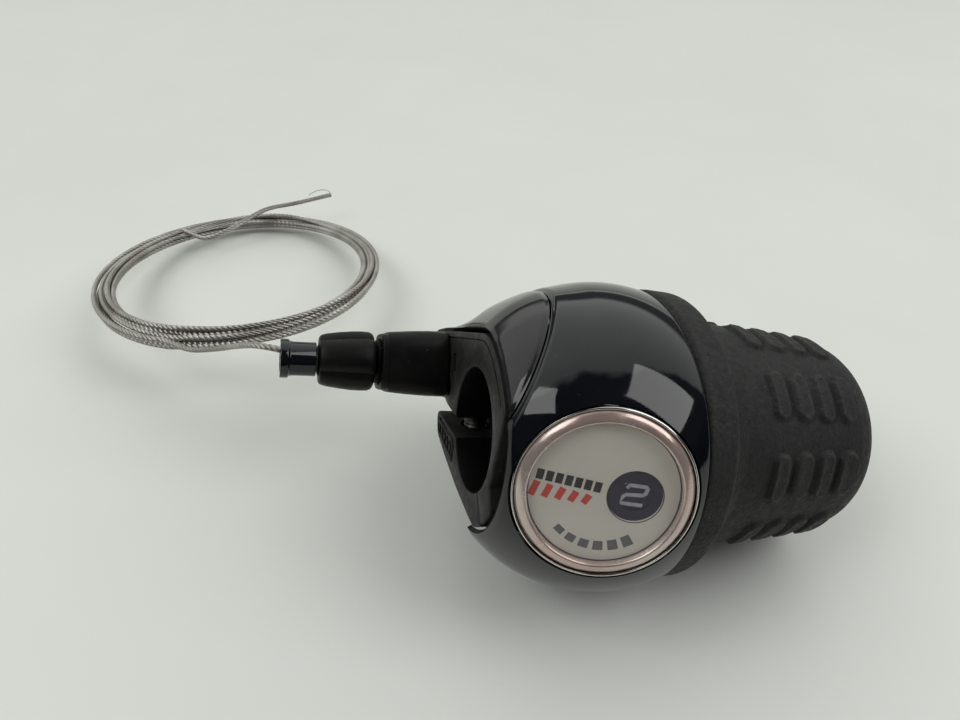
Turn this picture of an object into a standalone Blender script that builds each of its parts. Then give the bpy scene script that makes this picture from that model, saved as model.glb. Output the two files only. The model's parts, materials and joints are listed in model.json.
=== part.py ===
"""Twist-grip gear shifter with a round gear display, lying on a table beside its coiled inner cable.

Lengths are in millimetres, and MM turns them into metres. The shifter is drawn in the bar frame: +Z runs
along the handlebar towards the grip's open end, X and Y lie across it, and the origin is the bore's centre
on the clamp's end face. The empty bar_frame lays it on the table. Angles go round the bar from +X towards +Y.
"""

import math

import bmesh
import bpy
from mathutils import Matrix, Vector

MM = 0.001
GAP = 0.3
FAR = 90.0
ROUND = 40

# Resting place: the grip's end hangs lower than the clamp, and the shifter is rolled towards the display.
BAR_TILT = 12.4
BAR_ROLL = 45.0
BAR_ORIGIN = (-20.75, -3.06, 33.72)

# Handlebar clamp
BORE_R = 11.15
CLAMP_WIDTH = 10.5
CLAMP_OUTER_R = 17.0
SPLIT_ANGLE = -113.0
EAR_SLOPE = math.radians(17.7)
ARM_PIVOT = (-3.5, -14.2)
BOLT_CENTRE = (17.0, 0.9, 6.0)
BOLT_R = 2.4
BOLT_HOLE_R = 3.0

# Ball-shaped casing
BALL_CENTRE = (0.0, -0.6, 22.5)
BALL_R = 28.3
WALL = 2.1
CASE_START = 0.3
CREASE_SLOPE = 0.461
CREASE_START = -0.83
HOOD_REACH = 6.0

# Display, on an axis that leaves the ball's centre
DISPLAY_ANGLE = 198.9
DISPLAY_LEAN = 17.5
DISPLAY_R = 14.7
DISPLAY_HOLE_R = 15.0
LENS_TOP = 25.0
FACE_R = 12.2
FACE_LEVEL = 23.1
DISC_LEVEL = 22.0
DISC_R = 10.4
WINDOW_R = 4.4
WINDOW_OFFSET = 5.0

# Cable outlet, parallel to the bar
OUTLET = (22.7, 11.5)
BOSS_LENGTH = 13.4
TUBE_END = 32.7

# Rotating grip
CORE_INNER_R = 13.05
FLANGE_R = 26.5
GRIP_START = 29.4
GRIP_END = 74.2
GEAR_STEP = 20.0
GEARS = 5
SHOWN_GEAR = 2
GROOVE_R = 16.6
GROOVE_Z = 27.6

# Inner cable: one steel strand, coiled on the table
CABLE_R = 0.6
COIL_MEAN_R = 34.5
COIL_R = 2.4
COIL_CENTRE = (-68.3, 79.1)
COIL_TILT = 12.2
COIL_RAISED_SIDE = -94.0

# The cable's free stretches, in the table frame
LEAD_ROUTE = [
    (-54.0, 22.3, 34.0),
    (-56.7, 23.6, 34.0),
    (-60.1, 26.2, 32.5),
    (-64.1, 29.7, 29.4),
    (-69.5, 34.1, 25.2),
    (-75.9, 39.3, 21.0),
    (-82.1, 43.3, 18.2),
]
TAIL_ROUTE = [
    (-85.2, 104.1, 4.2),
    (-81.1, 103.5, 4.9),
    (-76.0, 104.2, 5.8),
    (-70.3, 106.9, 6.9),
    (-65.7, 110.1, 7.6),
    (-61.5, 112.3, 7.8),
    (-54.7, 113.3, 8.0),
    (-48.3, 114.4, 8.4),
    (-43.3, 115.2, 8.8),
]


def clear_scene():
    for obj in list(bpy.data.objects):
        bpy.data.objects.remove(obj, do_unlink=True)


def make_look(name, colour, roughness, metallic=0.0, alpha=1.0):
    look = bpy.data.materials.new(name)
    look.use_nodes = True
    shader = look.node_tree.nodes["Principled BSDF"]
    shader.inputs["Base Color"].default_value = (*colour, 1.0)
    shader.inputs["Roughness"].default_value = roughness
    shader.inputs["Metallic"].default_value = metallic
    shader.inputs["Alpha"].default_value = alpha
    return look


def make_looks():
    return {
        "matte": make_look("matte black plastic", (0.035, 0.035, 0.036), 0.55),
        "satin": make_look("satin black plastic", (0.022, 0.022, 0.024), 0.22),
        "gloss": make_look("gloss black plastic", (0.006, 0.006, 0.009), 0.04),
        "rubber": make_look("grip rubber", (0.045, 0.044, 0.044), 0.72),
        "inner": make_look("grey acetal", (0.30, 0.30, 0.29), 0.45),
        "white": make_look("white acetal", (0.72, 0.71, 0.68), 0.45),
        "steel": make_look("steel", (0.55, 0.54, 0.52), 0.28, 1.0),
        "zinc": make_look("zinc plated steel", (0.62, 0.62, 0.62), 0.35, 1.0),
        "silver": make_look("silver trim", (0.75, 0.72, 0.69), 0.18, 1.0),
        "clear": make_look("clear lens", (0.86, 0.80, 0.77), 0.05, 0.0, 0.35),
        "cream": make_look("cream printed face", (0.64, 0.60, 0.53), 0.4),
        "disc": make_look("aubergine number disc", (0.03, 0.022, 0.045), 0.35),
    }


def add_frame(name, origin, axis, across, parent=None):
    """An empty at origin whose Z is axis, and whose X is as near to across as it can be."""
    z = Vector(axis).normalized()
    x = (Vector(across) - z * Vector(across).dot(z)).normalized()
    frame = bpy.data.objects.new(name, None)
    frame.empty_display_size = 0.01
    bpy.context.scene.collection.objects.link(frame)
    turn = Matrix((x, z.cross(x), z)).transposed()
    frame.matrix_basis = Matrix.Translation(Vector(origin) * MM) @ turn.to_4x4()
    frame.parent = parent
    return frame


def add_bar_frame():
    tilt = math.radians(BAR_TILT)
    roll = math.radians(BAR_ROLL)
    along = (math.cos(tilt), 0.0, -math.sin(tilt))
    across = (-math.sin(roll) * math.sin(tilt), math.cos(roll), -math.sin(roll) * math.cos(tilt))
    return add_frame("bar_frame", BAR_ORIGIN, along, across)


def polar(radius, degrees):
    turn = math.radians(degrees)
    return radius * math.cos(turn), radius * math.sin(turn)


def arc(radius, start, end, count, centre=(0.0, 0.0)):
    points = []
    for k in range(count + 1):
        x, y = polar(radius, start + (end - start) * k / count)
        points.append((x + centre[0], y + centre[1]))
    return points


def add_solid(name, bm, look, parent):
    """Turns bm into an object. With no look it is a cutter, which isn't rendered."""
    bmesh.ops.recalc_face_normals(bm, faces=bm.faces)
    mesh = bpy.data.meshes.new(name)
    bm.to_mesh(mesh)
    bm.free()
    obj = bpy.data.objects.new(name, mesh)
    bpy.context.scene.collection.objects.link(obj)
    obj.parent = parent
    if look is None:
        obj.hide_render = True
        obj.display_type = "WIRE"
        return obj
    mesh.materials.append(look)
    mesh.shade_smooth()
    mesh.set_sharp_from_angle(angle=math.radians(32))
    return obj


def stitch(bm, rings, closed):
    """Faces between neighbouring rings of points. A ring of one point is a tip."""
    pairs = list(zip(rings, rings[1:]))
    if closed:
        pairs.append((rings[-1], rings[0]))
    count = max(len(ring) for ring in rings)
    for low, high in pairs:
        for k in range(count):
            after = (k + 1) % count
            corners = [
                low[k % len(low)],
                low[after % len(low)],
                high[after % len(high)],
                high[k % len(high)],
            ]
            corners = list(dict.fromkeys(corners))
            if len(corners) > 2:
                bm.faces.new(corners)


def lathe(name, profile, look, parent, steps=ROUND):
    """Turns a closed profile of (z, radius) points about the parent's Z."""
    bm = bmesh.new()
    rings = []
    for z, radius in profile:
        if radius == 0:
            rings.append([bm.verts.new((0.0, 0.0, z * MM))])
            continue
        ring = arc(radius, 0.0, 360.0, steps)[:-1]
        rings.append([bm.verts.new((x * MM, y * MM, z * MM)) for x, y in ring])
    stitch(bm, rings, closed=True)
    return add_solid(name, bm, look, parent)


def loft(name, sections, look, parent):
    """A solid through sections (z, outline) that have the same number of points, with flat ends."""
    bm = bmesh.new()
    rings = []
    for z, outline in sections:
        rings.append([bm.verts.new((x * MM, y * MM, z * MM)) for x, y in outline])
    stitch(bm, rings, closed=False)
    bm.faces.new(rings[0])
    bm.faces.new(rings[-1])
    return add_solid(name, bm, look, parent)


def prism(name, outline, low, high, look, parent):
    return loft(name, [(low, outline), (high, outline)], look, parent)


def rod(name, radius, low, high, look, parent, steps=24):
    return lathe(name, [(low, 0), (low, radius), (high, radius), (high, 0)], look, parent, steps)


def ring(name, inner, outer, low, high, look, parent, steps=ROUND):
    profile = [(low, inner), (low, outer), (high, outer), (high, inner)]
    return lathe(name, profile, look, parent, steps)


def box(name, centre, size, look, parent):
    bm = bmesh.new()
    bmesh.ops.create_cube(bm, size=1.0)
    bmesh.ops.scale(bm, vec=Vector(size) * MM, verts=bm.verts)
    bmesh.ops.translate(bm, vec=Vector(centre) * MM, verts=bm.verts)
    return add_solid(name, bm, look, parent)


def sweep(name, points, radius, look, parent, sides=8):
    """A round tube of mesh along the points, with flat ends."""
    bm = bmesh.new()
    rings = []
    side = Vector((0.0, 0.0, 1.0))
    for k, point in enumerate(points):
        ahead = points[min(k + 1, len(points) - 1)] - points[max(k - 1, 0)]
        ahead.normalize()
        if k == 0 and abs(ahead.z) > 0.9:
            side = Vector((1.0, 0.0, 0.0))
        side = (side - ahead * side.dot(ahead)).normalized()
        other = ahead.cross(side)
        turned = [side * x + other * y for x, y in arc(radius, 0.0, 360.0, sides)[:-1]]
        rings.append([bm.verts.new((point + offset) * MM) for offset in turned])
    stitch(bm, rings, closed=False)
    bm.faces.new(rings[0])
    bm.faces.new(rings[-1])
    return add_solid(name, bm, look, parent)


def combine(obj, tool, operation="DIFFERENCE"):
    change = obj.modifiers.new(tool.name, "BOOLEAN")
    change.operation = operation
    change.solver = "EXACT"
    change.object = tool
    return obj


def half_space(name, point, normal, parent):
    """A cutter that fills the side of a plane that the normal points to."""
    frame = add_frame(name + "_frame", point, normal, (0.31, 0.77, 0.53), parent)
    return box(name, (0.0, 0.0, FAR), (2 * FAR, 2 * FAR, 2 * FAR), None, frame)


def grown(outline, distance):
    """The outline, drawn anticlockwise, moved outwards by distance."""
    moved = []
    for k, point in enumerate(outline):
        before = Vector(point) - Vector(outline[k - 1])
        after = Vector(outline[(k + 1) % len(outline)]) - Vector(point)
        normal = Vector((before.y, -before.x)).normalized() + Vector((after.y, -after.x)).normalized()
        reach = 2.0 / max(normal.length_squared, 1.2)
        moved.append(tuple(Vector(point) + normal * distance * reach))
    return moved


def squircle(half, count=32, power=4.0):
    points = []
    for k in range(count):
        turn = 2 * math.pi * k / count
        c = math.cos(turn)
        s = math.sin(turn)
        size = half / (abs(c) ** power + abs(s) ** power) ** (1 / power)
        points.append((size * c, size * s))
    return points


def smooth_route(knots, spacing):
    """Points about every spacing along the Catmull-Rom curve through the knots."""
    knots = [Vector(knot) for knot in knots]
    ends = [2 * knots[0] - knots[1], *knots, 2 * knots[-1] - knots[-2]]
    fine = []
    for a, b, c, d in zip(ends, ends[1:], ends[2:], ends[3:]):
        for k in range(40):
            t = k / 40
            bend = 2 * a - 5 * b + 4 * c - d
            twist = 3 * b - 3 * c + d - a
            fine.append((2 * b + (c - a) * t + bend * t**2 + twist * t**3) / 2)
    fine.append(knots[-1])
    travelled = [0.0]
    for before, after in zip(fine, fine[1:]):
        travelled.append(travelled[-1] + (after - before).length)
    count = max(2, round(travelled[-1] / spacing))
    points = []
    index = 0
    for k in range(count + 1):
        goal = travelled[-1] * k / count
        while index < len(travelled) - 2 and travelled[index + 1] < goal:
            index += 1
        span = travelled[index + 1] - travelled[index]
        points.append(fine[index].lerp(fine[index + 1], (goal - travelled[index]) / span))
    return points


def cord(name, points, look, parent):
    """A plain cable: a curve with a round bevel and filled caps."""
    curve = bpy.data.curves.new(name, "CURVE")
    curve.dimensions = "3D"
    curve.bevel_depth = CABLE_R * MM
    curve.bevel_resolution = 2
    curve.use_fill_caps = True
    spline = curve.splines.new("POLY")
    spline.points.add(len(points) - 1)
    for spot, point in zip(spline.points, points):
        spot.co = (*(point * MM), 1.0)
    curve.materials.append(look)
    obj = bpy.data.objects.new(name, curve)
    bpy.context.scene.collection.objects.link(obj)
    obj.parent = parent
    return obj


def bracket_outline():
    """The fixed part of the clamp ring, the end plate and the seat of the cable outlet."""
    bore = arc(BORE_R, 360.0 + SPLIT_ANGLE, 6.0, 30)
    ear = [(18.5, 3.5), (20.2, 4.6), (29.2, 4.8), (29.8, 5.6), (29.8, 17.6), (29.0, 18.4)]
    top = [(21.7, 18.4), (8.0, 17.7), (-4.2, 17.0), (-7.0, 16.2), (-9.6, 14.5), (-12.6, 11.4)]
    side = [(-14.9, 8.2), (-16.5, 5.2), (-16.9, 3.4), (-15.0, -0.4), (-13.5, -3.2)]
    wall = arc(13.4, 197.0, 219.0, 4) + arc(CLAMP_OUTER_R, 227.0, 360.0 + SPLIT_ANGLE, 5)
    return ear + top + side + wall + bore


def arm_outline():
    """The loose half of the clamp ring, with the tab that the pinch bolt pulls."""
    heel = arc(CLAMP_OUTER_R, SPLIT_ANGLE + 1.2, -97.0, 4)
    back = [(1.0, -15.8), (9.8, -11.9), (18.8, -7.1), (24.6, -3.6), (25.6, -1.8), (25.8, 0.6)]
    tab = [(25.0, 1.8)]
    bore = arc(BORE_R, -13.6, SPLIT_ANGLE + 1.6, 20)
    return heel + back + tab + bore


def add_clamp(looks, bar, bolt_frame):
    bracket = prism("clamp_bracket", bracket_outline(), 0.0, CLAMP_WIDTH, looks["matte"], bar)
    outlet_hole = rod("outlet_hole", 3.6, -1.0, CLAMP_WIDTH + 1.0, None, bar)
    outlet_hole.location = (OUTLET[0] * MM, OUTLET[1] * MM, 0.0)
    combine(bracket, outlet_hole)
    combine(bracket, rod("bolt_hole", 2.8, -12.0, 0.5, None, bolt_frame))
    combine(bracket, box("nut_slot", (3.0, 0.0, -8.0), (14.0, 8.4, 4.4), None, bolt_frame))
    combine(bracket, box("thread_window", (14.4, 9.9, 1.6), (2.4, 2.4, 5.0), None, bar))

    pivot = add_frame("arm_pivot", (*ARM_PIVOT, 0.0), (0, 0, 1), (1, 0, 0), bar)
    outline = [(x - ARM_PIVOT[0], y - ARM_PIVOT[1]) for x, y in arm_outline()]
    arm = prism("clamp_arm", outline, 0.0, CLAMP_WIDTH, looks["matte"], pivot)
    combine(arm, rod("arm_hole", BOLT_HOLE_R, -1.0, 14.0, None, bolt_frame))
    combine(arm, rod("head_seat", 5.1, 3.4, 16.0, None, bolt_frame))

    hexagon = [polar(3.9, 30.0 + 60.0 * k) for k in range(6)]
    nut = prism("clamp_nut", hexagon, -9.8, -6.2, looks["zinc"], bolt_frame)
    combine(nut, rod("nut_hole", 2.7, -12.0, 0.0, None, bolt_frame))
    ring("clamp_washer", 2.7, 4.6, 3.7, 4.5, looks["zinc"], bolt_frame, 24)
    shank = [(-11.0, 0), (-11.0, 2.0), (-10.6, BOLT_R), (4.8, BOLT_R)]
    head = [(4.8, 4.1), (7.8, 4.1), (8.2, 3.7), (8.2, 0)]
    bolt = lathe("clamp_bolt", shank + head, looks["steel"], bolt_frame, 24)
    key = prism("hex_key_hole", [polar(2.3, 60.0 * k) for k in range(6)], 5.8, 12.0, None, bolt_frame)
    combine(bolt, key)


def casing_blank(name, look, bar):
    """The whole ball-shaped casing as one shell, before it is split into hood and rear housing."""
    bm = bmesh.new()
    for k in range(13):
        lift = math.radians(-50.5 + 6.6 * k)
        height = BALL_CENTRE[2] + BALL_R * math.sin(lift)
        for x, y in arc(BALL_R * math.cos(lift), 0.0, 360.0, ROUND)[:-1]:
            bm.verts.new((x * MM, (y + BALL_CENTRE[1]) * MM, height * MM))
    rim = grown(bracket_outline(), 1.3)[:22] + arc(CLAMP_OUTER_R + 2.0, -132.0, -86.0, 6)
    for height in (CASE_START, 3.0):
        for x, y in rim:
            bm.verts.new((x * MM, y * MM, height * MM))
    made = bmesh.ops.convex_hull(bm, input=bm.verts)
    inner_points = set(made["geom_interior"]) | set(made["geom_unused"])
    bmesh.ops.delete(bm, geom=list(inner_points), context="VERTS")
    shell = add_solid(name, bm, look, bar)

    inner_r = BALL_R - WALL
    inside = [(CLAMP_WIDTH + 0.6, 0)]
    for k in range(11):
        lift = math.asin((CLAMP_WIDTH + 0.6 - BALL_CENTRE[2]) / inner_r) + math.radians(6.6 * k)
        inside.append((BALL_CENTRE[2] + inner_r * math.sin(lift), inner_r * math.cos(lift)))
    last = inside[-1]
    inside += [(FAR, last[1]), (FAR, 0)]
    cavity = lathe(name + "_cavity", inside, None, bar)
    cavity.location = (0.0, BALL_CENTRE[1] * MM, 0.0)
    combine(shell, cavity)

    seat = prism(name + "_seat", grown(bracket_outline(), GAP + 0.1), -5.0, CLAMP_WIDTH + 0.9, None, bar)
    combine(shell, seat)
    combine(shell, rod(name + "_bore", 12.4, -5.0, CLAMP_WIDTH + 0.9, None, bar))
    crescent = arc(CLAMP_OUTER_R + 0.9, -134.0, -84.0, 10) + [(2.0, -8.0), (-11.0, -8.0)]
    combine(shell, prism(name + "_crescent", crescent, -5.0, CLAMP_WIDTH + 0.9, None, bar))
    sweep_zone = [(0.0, 0.0), (1.8, -18.0), (8.0, -FAR), (FAR, -FAR), (FAR, 26.5), (20.4, 5.1), (11.0, 1.8)]
    combine(shell, prism(name + "_arm_room", sweep_zone, -5.0, CLAMP_WIDTH + 0.9, None, bar))
    nose = [(29.0, 5.0), (29.0, 25.7), (31.2, 27.4), (FAR, 27.4), (FAR, 5.0)]
    combine(shell, lathe(name + "_nose", nose, None, bar))
    combine(shell, half_space(name + "_end", (0.0, 0.0, 29.9), (0.0318, 0.0455, 1.0), bar))
    return shell


def front_zone(name, spread, bar):
    """The hood's share of the casing: beyond the crease plane and this side of the parting plane."""
    start = CREASE_START - spread
    low = (-FAR, start - CREASE_SLOPE * FAR)
    high = (FAR, start + CREASE_SLOPE * FAR)
    reach = HOOD_REACH + spread
    bm = bmesh.new()
    rings = []
    for x in (-FAR, reach):
        corners = [low, high, (FAR, 2 * FAR), (-FAR, 2 * FAR)]
        rings.append([bm.verts.new((x * MM, y * MM, z * MM)) for y, z in corners])
    stitch(bm, rings, closed=False)
    bm.faces.new(rings[0])
    bm.faces.new(rings[1])
    return add_solid(name, bm, None, bar)


def add_casing(looks, bar, display, cable_route):
    hood = casing_blank("hood", looks["gloss"], bar)
    combine(hood, front_zone("hood_zone", 0.0, bar), "INTERSECT")
    combine(hood, rod("display_hole", DISPLAY_HOLE_R, 12.0, 60.0, None, display, ROUND))

    rear = casing_blank("rear_housing", looks["satin"], bar)
    combine(rear, front_zone("rear_zone", GAP, bar))
    combine(rear, sweep("cable_channel", cable_route, CABLE_R + 1.0, None, bar))
    for index, angle in enumerate((-20.0, 62.0)):
        x, y = polar(1.0, angle)
        frame = add_frame(f"screw_frame_{index + 1}", (27.2 * x, 27.2 * y, 17.0), (x, y, 0.0), (0, 0, 1), bar)
        combine(rear, rod(f"screw_hole_{index + 1}", 1.6, -12.0, 5.0, None, frame, 16))
        combine(rear, rod(f"screw_seat_{index + 1}", 2.9, -0.3, 8.0, None, frame, 20))
        profile = [(-6.0, 0), (-6.0, 1.2), (0.0, 1.2), (0.0, 2.5), (1.3, 2.5), (1.7, 1.8), (1.7, 0)]
        lathe(f"housing_screw_{index + 1}", profile, looks["zinc"], frame, 20)


def add_display(looks, display):
    cup_top = FACE_LEVEL - 0.5
    base = [(19.5, 2.0), (19.5, 13.2), (cup_top, 13.2), (cup_top, 12.5), (20.1, 12.5), (20.1, 2.0)]
    lathe("dial_base", base, looks["matte"], display)
    face_top = FACE_LEVEL + 0.5
    face = rod("dial_face", FACE_R, FACE_LEVEL, face_top, looks["cream"], display, ROUND)
    window = rod("window_hole", WINDOW_R, DISC_LEVEL, LENS_TOP, None, display, 32)
    window.location = (WINDOW_OFFSET * MM, 0.0, 0.0)
    combine(face, window)
    pane = [(face_top + GAP, 0), (face_top + GAP, FACE_R + GAP), (22.9, FACE_R + GAP)]
    rim = [(22.9, 14.0), (23.6, 14.0), (24.5, 13.0), (LENS_TOP - 0.1, 12.0), (LENS_TOP, 0)]
    lathe("dial_lens", pane + rim, looks["clear"], display)
    bezel = [(23.2, 14.25), (23.2, DISPLAY_R), (24.0, DISPLAY_R), (24.3, 14.5), (24.3, 14.25)]
    lathe("dial_bezel", bezel, looks["silver"], display)

    rod("indicator_disc", DISC_R, DISC_LEVEL, DISC_LEVEL + 0.8, looks["disc"], display, 36)
    gear = [polar(6.4 if k % 2 else 5.6, 9.0 * k) for k in range(40)]
    pinion = prism("indicator_gear", gear, 17.0, 18.6, looks["white"], display)
    shaft = rod("indicator_shaft", 1.6, 15.9, DISC_LEVEL - GAP, None, display, 16)
    combine(pinion, shaft, "UNION")


def add_mandrel(looks, bar):
    profile = [
        (CLAMP_WIDTH + GAP, BORE_R),
        (CLAMP_WIDTH + GAP, 13.6),
        (18.0, 13.6),
        (18.0, 12.7),
        (73.4, 12.7),
        (73.4, BORE_R),
    ]
    lathe("mandrel", profile, looks["matte"], bar)
    ring("wave_washer", 13.0, 15.2, 18.3, 19.1, looks["steel"], bar)
    ring("retaining_ring", 13.0, 15.0, 72.2, 73.2, looks["steel"], bar)


def detent_outline():
    """A disc with one notch per gear."""
    points = []
    for k in range(96):
        angle = 3.75 * k
        depth = 0.0
        for gear in range(1, GEARS + 1):
            notch = 20.0 - (gear - SHOWN_GEAR) * GEAR_STEP
            away = abs((angle - notch + 180.0) % 360.0 - 180.0)
            depth = max(depth, 0.8 * (1 - away / 5.0))
        points.append(polar(15.6 - depth, angle))
    return points


def add_detent(looks, bar):
    plate = prism("detent_plate", detent_outline(), 19.5, 21.2, looks["inner"], bar)
    combine(plate, rod("detent_bore", 13.1, 10.0, 30.0, None, bar, ROUND))
    inner = []
    outer = []
    for k in range(25):
        angle = -16.0 + 3.0 * k
        dip = 1.5 * max(0.0, 1 - abs(angle - 20.0) / 9.0)
        inner.append(polar(16.9 - dip, angle))
        outer.append(polar(17.4 - dip, angle))
    foot = [polar(17.4, 58.5), polar(23.6, 58.5), polar(23.6, 56.0)]
    spring = inner + foot + list(reversed(outer))[1:]
    prism("detent_spring", spring, 19.7, 21.0, looks["steel"], bar)


def add_gear_train(looks, bar):
    """The bevel sector that turns the number disc, and the reel that winds the cable."""
    teeth = 20
    start = DISPLAY_ANGLE - 3 * GEAR_STEP - 10.0
    bm = bmesh.new()
    rings = []
    per_tooth = 6.0
    for tooth in range(teeth):
        for share, height in ((0.0, 24.9), (0.3, 24.9), (0.45, 23.9), (0.85, 23.9)):
            angle = start + per_tooth * (tooth + share)
            corners = [(15.0, 25.6), (15.0, 25.0), (17.9, 25.0), (18.0, height), (20.0, height), (20.2, 25.6)]
            ring_points = []
            for radius, z in corners:
                x, y = polar(radius, angle)
                ring_points.append(bm.verts.new((x * MM, y * MM, z * MM)))
            rings.append(ring_points)
    stitch(bm, rings, closed=False)
    bm.faces.new(rings[0])
    bm.faces.new(rings[-1])
    add_solid("sector_gear", bm, looks["white"], bar)

    reel = [
        (25.9, 15.0),
        (25.9, 18.8),
        (26.4, 18.8),
        (26.7, 15.6),
        (28.5, 15.6),
        (28.8, 18.8),
        (29.3, 18.8),
        (29.3, 15.0),
    ]
    drum = lathe("cable_drum", reel, looks["inner"], bar)
    nipple_frame = add_frame("nipple_frame", (*polar(16.9, 228.0), 0.0), (0, 0, 1), (1, 0, 0), bar)
    combine(drum, rod("nipple_pocket", 2.1, 20.0, 28.4, None, nipple_frame, 16))
    rod("cable_nipple", 1.7, 26.1, 28.0, looks["steel"], nipple_frame, 16)


def grip_profile():
    outside = [
        (GRIP_START, 24.9),
        (29.7, 25.3),
        (31.4, 27.0),
        (35.6, 26.7),
        (36.2, FLANGE_R),
        (36.6, 25.6),
        (37.7, 23.6),
        (39.4, 22.4),
        (41.5, 21.75),
        (68.0, 19.25),
        (70.5, 18.5),
        (72.5, 17.5),
        (73.6, 16.6),
        (GRIP_END, 15.9),
    ]
    inside = [(GRIP_END, 15.4), (32.4, 15.4), (32.4, 24.2), (GRIP_START, 24.2)]
    return outside + inside


def barrel_radius(z):
    return 21.75 - (z - 41.5) * 0.0945


def add_grip(looks, bar):
    core = [
        (21.6, CORE_INNER_R),
        (21.6, 14.7),
        (29.7, 14.7),
        (29.7, 23.9),
        (32.1, 23.9),
        (32.1, 15.1),
        (71.8, 15.1),
        (71.8, CORE_INNER_R),
    ]
    lathe("grip_core", core, looks["matte"], bar)
    cover = lathe("grip_cover", grip_profile(), looks["rubber"], bar, 48)
    bm = bmesh.new()
    for group in range(8):
        for row in range(4):
            z = 49.4 + 5.13 * row
            high = barrel_radius(z) + 0.6
            rings = []
            for radius in (high - 2.0, high):
                spread = 4.2 / high if radius == high else 4.2 / high * 1.06
                half = 1.5 if radius == high else 1.8
                corners = []
                for side, end in ((-1, -1), (1, -1), (1, 1), (-1, 1)):
                    x, y = polar(radius, 156.0 + 45.0 * group + math.degrees(spread) * side)
                    corners.append(bm.verts.new((x * MM, y * MM, (z + half * end) * MM)))
                rings.append(corners)
            stitch(bm, rings, closed=False)
            bm.faces.new(rings[0])
            bm.faces.new(rings[1])
    combine(cover, add_solid("rib_blocks", bm, None, bar), "UNION")


def lobed(radius, depth, lobes=4, count=32):
    points = []
    for k in range(count):
        turn = 360.0 * k / count
        ridge = abs(math.cos(math.radians(lobes * turn / 2)))
        points.append(polar(radius - depth * (1 - ridge) ** 1.5, turn))
    return points


def add_adjuster(looks, outlet):
    sections = [
        (GAP, squircle(6.7)),
        (4.0, squircle(6.65)),
        (BOSS_LENGTH - 1.4, squircle(6.0)),
        (BOSS_LENGTH - 1.2, squircle(5.7)),
        (BOSS_LENGTH, squircle(5.6)),
    ]
    boss = loft("cable_boss", sections, looks["matte"], outlet)
    combine(boss, rod("boss_bore", 3.3, -1.0, 20.0, None, outlet))
    combine(boss, rod("spring_pocket", 4.7, 10.2, 20.0, None, outlet))

    coil = []
    for k in range(49):
        x, y = polar(4.05, 15.0 * k)
        coil.append(Vector((x, y, 10.6 + 0.9 * k / 24)))
    sweep("adjuster_spring", coil, 0.25, looks["steel"], outlet, 6)
    ring("adjuster_washer", 3.3, 4.4, 13.5, 14.1, looks["matte"], outlet, 24)

    bolt = [(4.0, 1.3), (4.0, 2.6), (4.5, 3.0), (25.6, 3.0), (25.6, 1.3)]
    lathe("adjuster_bolt", bolt, looks["satin"], outlet, 24)
    knob_sections = [
        (14.7, lobed(5.5, 0.7)),
        (15.4, lobed(5.95, 0.9)),
        (19.0, lobed(5.9, 0.9)),
        (24.0, lobed(5.2, 0.6)),
        (25.3, lobed(4.7, 0.3)),
    ]
    knob = loft("adjuster_knob", knob_sections, looks["matte"], outlet)
    combine(knob, rod("knob_bore", 3.3, 10.0, 30.0, None, outlet))
    socket = [
        (25.9, 0.95),
        (25.9, 3.4),
        (30.9, 3.4),
        (31.2, 3.85),
        (TUBE_END - 0.3, 3.85),
        (TUBE_END, 3.5),
        (TUBE_END, 2.6),
        (28.0, 2.6),
        (28.0, 0.95),
    ]
    lathe("casing_stop", socket, looks["gloss"], outlet, 24)


def inner_cable_route():
    """From the casing stop's mouth, through the adjuster and the housing, and round the reel to the nipple."""
    x, y = OUTLET
    knots = [(x, y + 1.45, -32.2), (x, y + 0.75, -30.4), (x, y + 0.1, -28.0), (x, y, -25.0)]
    knots += [(x, y, z) for z in (-19.0, -13.0, -7.0, -1.0, 4.0, 8.5)]
    knots += [(*polar(24.6, 33.0), 14.6), (*polar(22.6, 45.0), 20.4), (*polar(20.9, 61.0), 25.0)]
    wraps = [(*polar(18.7, 76.0), 27.3)]
    for angle in range(91, 217, 15):
        wraps.append((*polar(GROOVE_R, angle), GROOVE_Z))
    return smooth_route(knots + wraps + [(*polar(GROOVE_R, 220.4), GROOVE_Z)], 2.4)


def add_free_cable(looks):
    cord("cable_lead", smooth_route(LEAD_ROUTE, 1.6), looks["steel"], None)
    cord("cable_tail", smooth_route(TAIL_ROUTE, 1.6), looks["steel"], None)
    tilt = math.radians(COIL_TILT)
    raised = Vector((*polar(math.cos(tilt), COIL_RAISED_SIDE), math.sin(tilt)))
    level = Vector((*polar(1.0, COIL_RAISED_SIDE + 90.0), 0.0))
    height = COIL_R + COIL_MEAN_R * math.sin(tilt) + 0.2
    frame = add_frame("coil_frame", (*COIL_CENTRE, height), raised.cross(level), raised)
    section = [(z, COIL_MEAN_R + r) for r, z in arc(COIL_R, 0.0, 360.0, 8)[:-1]]
    lathe("cable_coil", section, looks["steel"], frame, 40)


def build():
    clear_scene()
    looks = make_looks()
    bar = add_bar_frame()
    lean = math.radians(DISPLAY_LEAN)
    out_x, out_y = polar(math.cos(lean), DISPLAY_ANGLE)
    display = add_frame("display_frame", BALL_CENTRE, (out_x, out_y, -math.sin(lean)), (0, 0, 1), bar)
    outlet = add_frame("outlet_frame", (*OUTLET, 0.0), (0, 0, -1), (1, 0, 0), bar)
    bolt_way = (math.sin(EAR_SLOPE), -math.cos(EAR_SLOPE), 0.0)
    bolt_frame = add_frame("bolt_frame", BOLT_CENTRE, bolt_way, (0, 0, 1), bar)
    cable_route = inner_cable_route()

    add_clamp(looks, bar, bolt_frame)
    add_casing(looks, bar, display, cable_route)
    add_display(looks, display)
    add_mandrel(looks, bar)
    add_detent(looks, bar)
    add_gear_train(looks, bar)
    add_grip(looks, bar)
    add_adjuster(looks, outlet)
    cord("inner_cable", cable_route, looks["steel"], bar)
    add_free_cable(looks)


build()
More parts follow.
